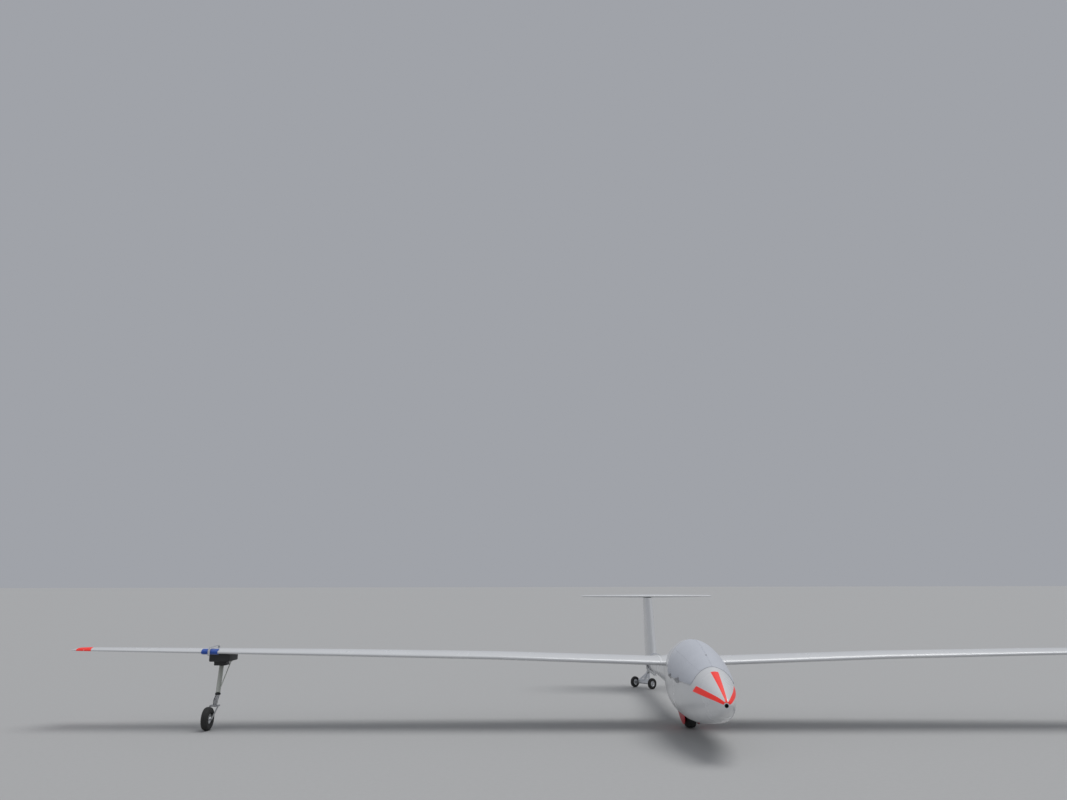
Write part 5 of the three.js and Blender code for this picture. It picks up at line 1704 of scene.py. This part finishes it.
def dolly_castor():
    """The yoke that turns under the post, and its twin wheels on one shaft."""
    d = DOLLY
    post, s, z = d["post"], d["post"] + d["trail"], d["wheel"]
    run, track, axle = d["width"] / 2 + 4, d["track"], d["axle"]
    head, edge = d["deck"] - 14, z + 16
    swing = ((0, post, 0), "Z", d["turned"])

    def bar(name, reach, radius, sides=32):
        return rod(name, (-reach, s, z), (reach, s, z), radius, sides=sides)

    yoke = bar("dolly_fork", track - run - 5, axle + 9, 40)
    rings = [[(side * half, place, top + drop) for side, drop in ((-1, 0), (1, 0), (1, -9), (-1, -9))]
             for half, place, top in ((30, post, head), (148, s, edge))]
    web = [(post - 24, head), (post + 24, head), (s + 8, z + 10), (s - 8, z + 4)]
    disc = rod("disc", (0, post, head - 4), (0, post, d["deck"] - SEAT_GAP), 34, sides=40)
    join(yoke, loft("plate", rings), side_solid("web", web, -5, 5), disc)
    cut(yoke, bar("bore", track, axle + 0.5),
        *[rod("hole", (x, post + 78, 60), (x, post + 78, 300), 15) for x in (-46, 46)])
    turn_about(round_edges(yoke, 1.4), *swing)
    finished(yoke, "dolly_swivel", aluminium, "dolly_yoke")
    hubs = [hub_form("hub", (x, s, z), d["rim"], d["width"], axle - 2, run) for x in (-track, track)]
    rims = turn_about(merged("dolly_rims", *hubs, bar("shaft", track + run, axle)), *swing)
    finished(rims, "dolly_wheels", aluminium, "dolly_wheel_axle")
    for x, label in ((-track, "right"), (track, "left")):
        wheel(f"dolly_tyre_round_{label}", (x, s, z), z, d["width"], d["rim"], 3.0, "dolly_wheels",
              f"dolly_tyre_{label}", d["turned"])


def wing_wheel():
    """Board, pad and clamp bar on the right wing, over a mast with a castoring wheel."""
    w = WING_WHEEL
    middle, half = w["pad_x"], w["pad_half"]
    _, lead, _, height, _ = wing_row(-middle)

    def near(grow):
        return wing_solid("near", -1, grow, [wing_row(5300), wing_row(6000)])

    def nose(half, reach):
        """A block round the leading edge, as wide as the pad."""
        return block("nose", middle - half, middle + half, lead - 60, lead + reach, height - 90, height + 90)

    x0, x1 = w["board_x"] - w["board_half"], w["board_x"] + w["board_half"]
    board = block("wing_board", x0, x1, w["board_front"], w["board_rear"], w["board_low"], height - 5)
    cut(round_edges(board, 16, 5), near(1.2))
    finished(board, "airframe", black_plastic, "wing_wheel_board")
    pad = keep(cut(near(11.5), near(2.5)), nose(half - 3, 58))
    stuffed(pad, 1.2, voxel=4.5, calm=2)
    pad.name = "wing_pad"
    finished(subdivided(pad), "airframe", blue_cloth, "wing_wheel_pad", angle=80)
    clamp_bar(lead, height, near(1.2), keep(near(13.4), nose(half, 62)))
    wing_mast()
    mast_foot()
    wing_castor()


CLAMP_BAR = dict(half=13, thick=7, ahead=22, hook=-34, shoulder=58, crest=74, foot=30, reach=345)


def clamp_bar(lead, height, *rooms):
    """The bent bar over the wing, clear of the rooms of the wing and its pad."""
    b, x = CLAMP_BAR, WING_WHEEL["pad_x"]
    thick, ahead, foot, end = b["thick"], b["ahead"], b["foot"], b["reach"]
    top, under = b["crest"], b["crest"] - b["thick"]
    high, low = b["shoulder"] + 5, b["shoulder"] + 5 - thick
    back, face = end - 30 - thick, -ahead + thick
    outline = [(-ahead, b["hook"]), (-ahead, 16)]
    outline += bend((-ahead, 16), (-ahead, b["shoulder"]), (40, high)) + [(end - 90, top)]
    outline += bend((end - 90, top), (end - 40, top), (end - 30, foot + 14))
    outline += [(end, foot), (end, 0), (back, 0), (back, foot + 12)]
    outline += bend((back, foot + 12), (end - 46, under), (end - 92, under)) + [(42, low)]
    outline += bend((42, low), (face, b["shoulder"] - thick), (face, 14)) + [(face, b["hook"])]
    places = [(lead + s, height + z) for s, z in outline]
    bar = cut(side_solid("wing_clamp_bar", places, x - b["half"], x + b["half"]), *rooms)
    finished(round_edges(bar, 1.5), "airframe", aluminium, "wing_wheel_arm")


def wing_mast():
    """The leaning tube from its socket under the board to its collar, with a brace."""
    w = WING_WHEEL
    x, foot, top = w["x"], (w["x"], w["mast_foot"], w["foot"]), w["mast_top"]
    head, under, thick = w["board_low"] - w["head_deep"], w["board_low"] - SEAT_GAP, w["mast_radius"]
    top_x = x + w["mast_lean"]
    tube = rod("wing_mast", (top_x, top, head), foot, thick, sides=48)
    socket = block("mast_socket", top_x - 70, top_x + 76, top - 80, top + 60, head, under)
    finished(round_edges(socket, 8, 4), "airframe", black_plastic)
    brace = rod("brace", (top_x + 120, top - 20, under - 6), (x + 8, foot[1], foot[2] + 10), 6)
    brace_head = block("brace_head", top_x, top_x + 130, top - 34, top - 6, under - 14, under)
    finished(join(tube, brace, brace_head), "airframe", pale_tube, "wing_wheel_mast")
    profile = [(20, 1), (thick + 4, 1), (thick + 5, 3), (thick + 5, 20), (thick + 3, 22), (20, 22)]
    collar = spin("mast_collar", profile, foot, (0, 0, -1), 48)
    finished(collar, "airframe", black_plastic)


def mast_foot():
    """Two slotted plates with the castor's sleeve and pin between them."""
    w = WING_WHEEL
    x, foot_s, foot, crown, pivot = w["x"], w["mast_foot"], w["foot"], w["crown"], w["pivot"]
    outline = [(foot_s + 24, foot - 14), (foot_s - 26, foot - 14), (pivot - 22, crown + 62),
               (pivot - 22, crown + 8), (pivot + 26, crown + 8)]
    holes = ((pivot + 16, crown + 34), (foot_s - 4, foot - 34))
    plates = []
    for middle in (x - 14, x + 14):
        outer = round_edges(side_solid("side", outline, middle - 3, middle + 3), 0.8)
        plates.append(cut(outer, join(*[rod("hole", (x - 30, *hole), (x + 30, *hole), 8) for hole in holes])))
    sleeve = rod("mast_foot_plates", (x, pivot, crown + 5), (x, pivot, crown + 66), 19, sides=40)
    pin = rod("pin", (x, pivot, crown - 18), (x, pivot, crown + 20), 8)
    finished(join(sleeve, pin, *plates), "airframe", steel)
    spots = [((x + side * 18, s, z), (side, 0, 0)) for side in (-1, 1)
             for s, z in ((foot_s, foot - 20), (foot_s - 14, foot - 52), (pivot - 12, crown + 52))]
    studs("mast_bolts", spots, 5, 3.5, "airframe", hex_heads)


def wing_castor():
    """The fork that turns on the mast's pin, and its wheel."""
    w = WING_WHEEL
    x, crown, pivot, s, z = w["x"], w["crown"], w["pivot"], w["axle"], w["wheel"]
    out = w["width"] / 2 + 9
    fork = block("wing_fork", x - out - 4, x + out + 4, pivot - 34, pivot + 30, crown - 12, crown + 4.6)
    cut(fork, rod("bore", (x, pivot, crown - 20), (x, pivot, crown + 30), 8.5))
    turns = [pi + pi * 0.9 * i / 10 for i in range(11)]
    outline = [(pivot - 34, crown + 4), (s - 16, z + 4)]
    outline += [(s + 17 * cos(a), z + 17 * sin(a)) for a in turns] + [(pivot + 10, crown + 4)]
    legs = [side_solid("leg", outline, middle - 3, middle + 3) for middle in (x - out, x + out)]
    join(fork, *legs, rod("axle", (x - out - 10, s, z), (x + out + 10, s, z), w["bore"] - 0.5))
    finished(round_edges(fork, 1.2), "wing_wheel_swivel", steel, "wing_wheel_fork")
    wheel("wing_tyre", (x, s, z), z, w["width"], w["rim"], 3.0, "wing_wheel", "wing_wheel_tyre")
    rim = hub_form("wing_rim", (x, s, z), w["rim"], w["width"], w["bore"], w["width"] / 2 + 3)
    finished(rim, "wing_wheel", aluminium, "wing_wheel_hub")


camera()
stage()
fuselage(fin_and_rudder())
canopy()
nose_stripes()
nose_inlet()
canopy_cover()
seat_pads()
harness()
instruments()
control_stick()
rudder_pedals()
for way, label in ((1, "left"), (-1, "right")):
    wing(way, label)
    tip_band(way, label)
    root_tape(way, label)
    levers(way, label)
    gear_door(way, label)
tailplane()
main_wheel()
gear_legs()
tail_wheel()
tow_hook()
dolly()
wing_wheel()

# CAD solids whose shape is right keep it and get a finish of their own
CARRIED = {"seat_pan": grey_plastic, "airbrake_lower_left": aluminium, "airbrake_lower_right": aluminium}
for node, material in CARRIED.items():
    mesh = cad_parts[node].data
    mesh.materials.clear()
    mesh.materials.append(material)
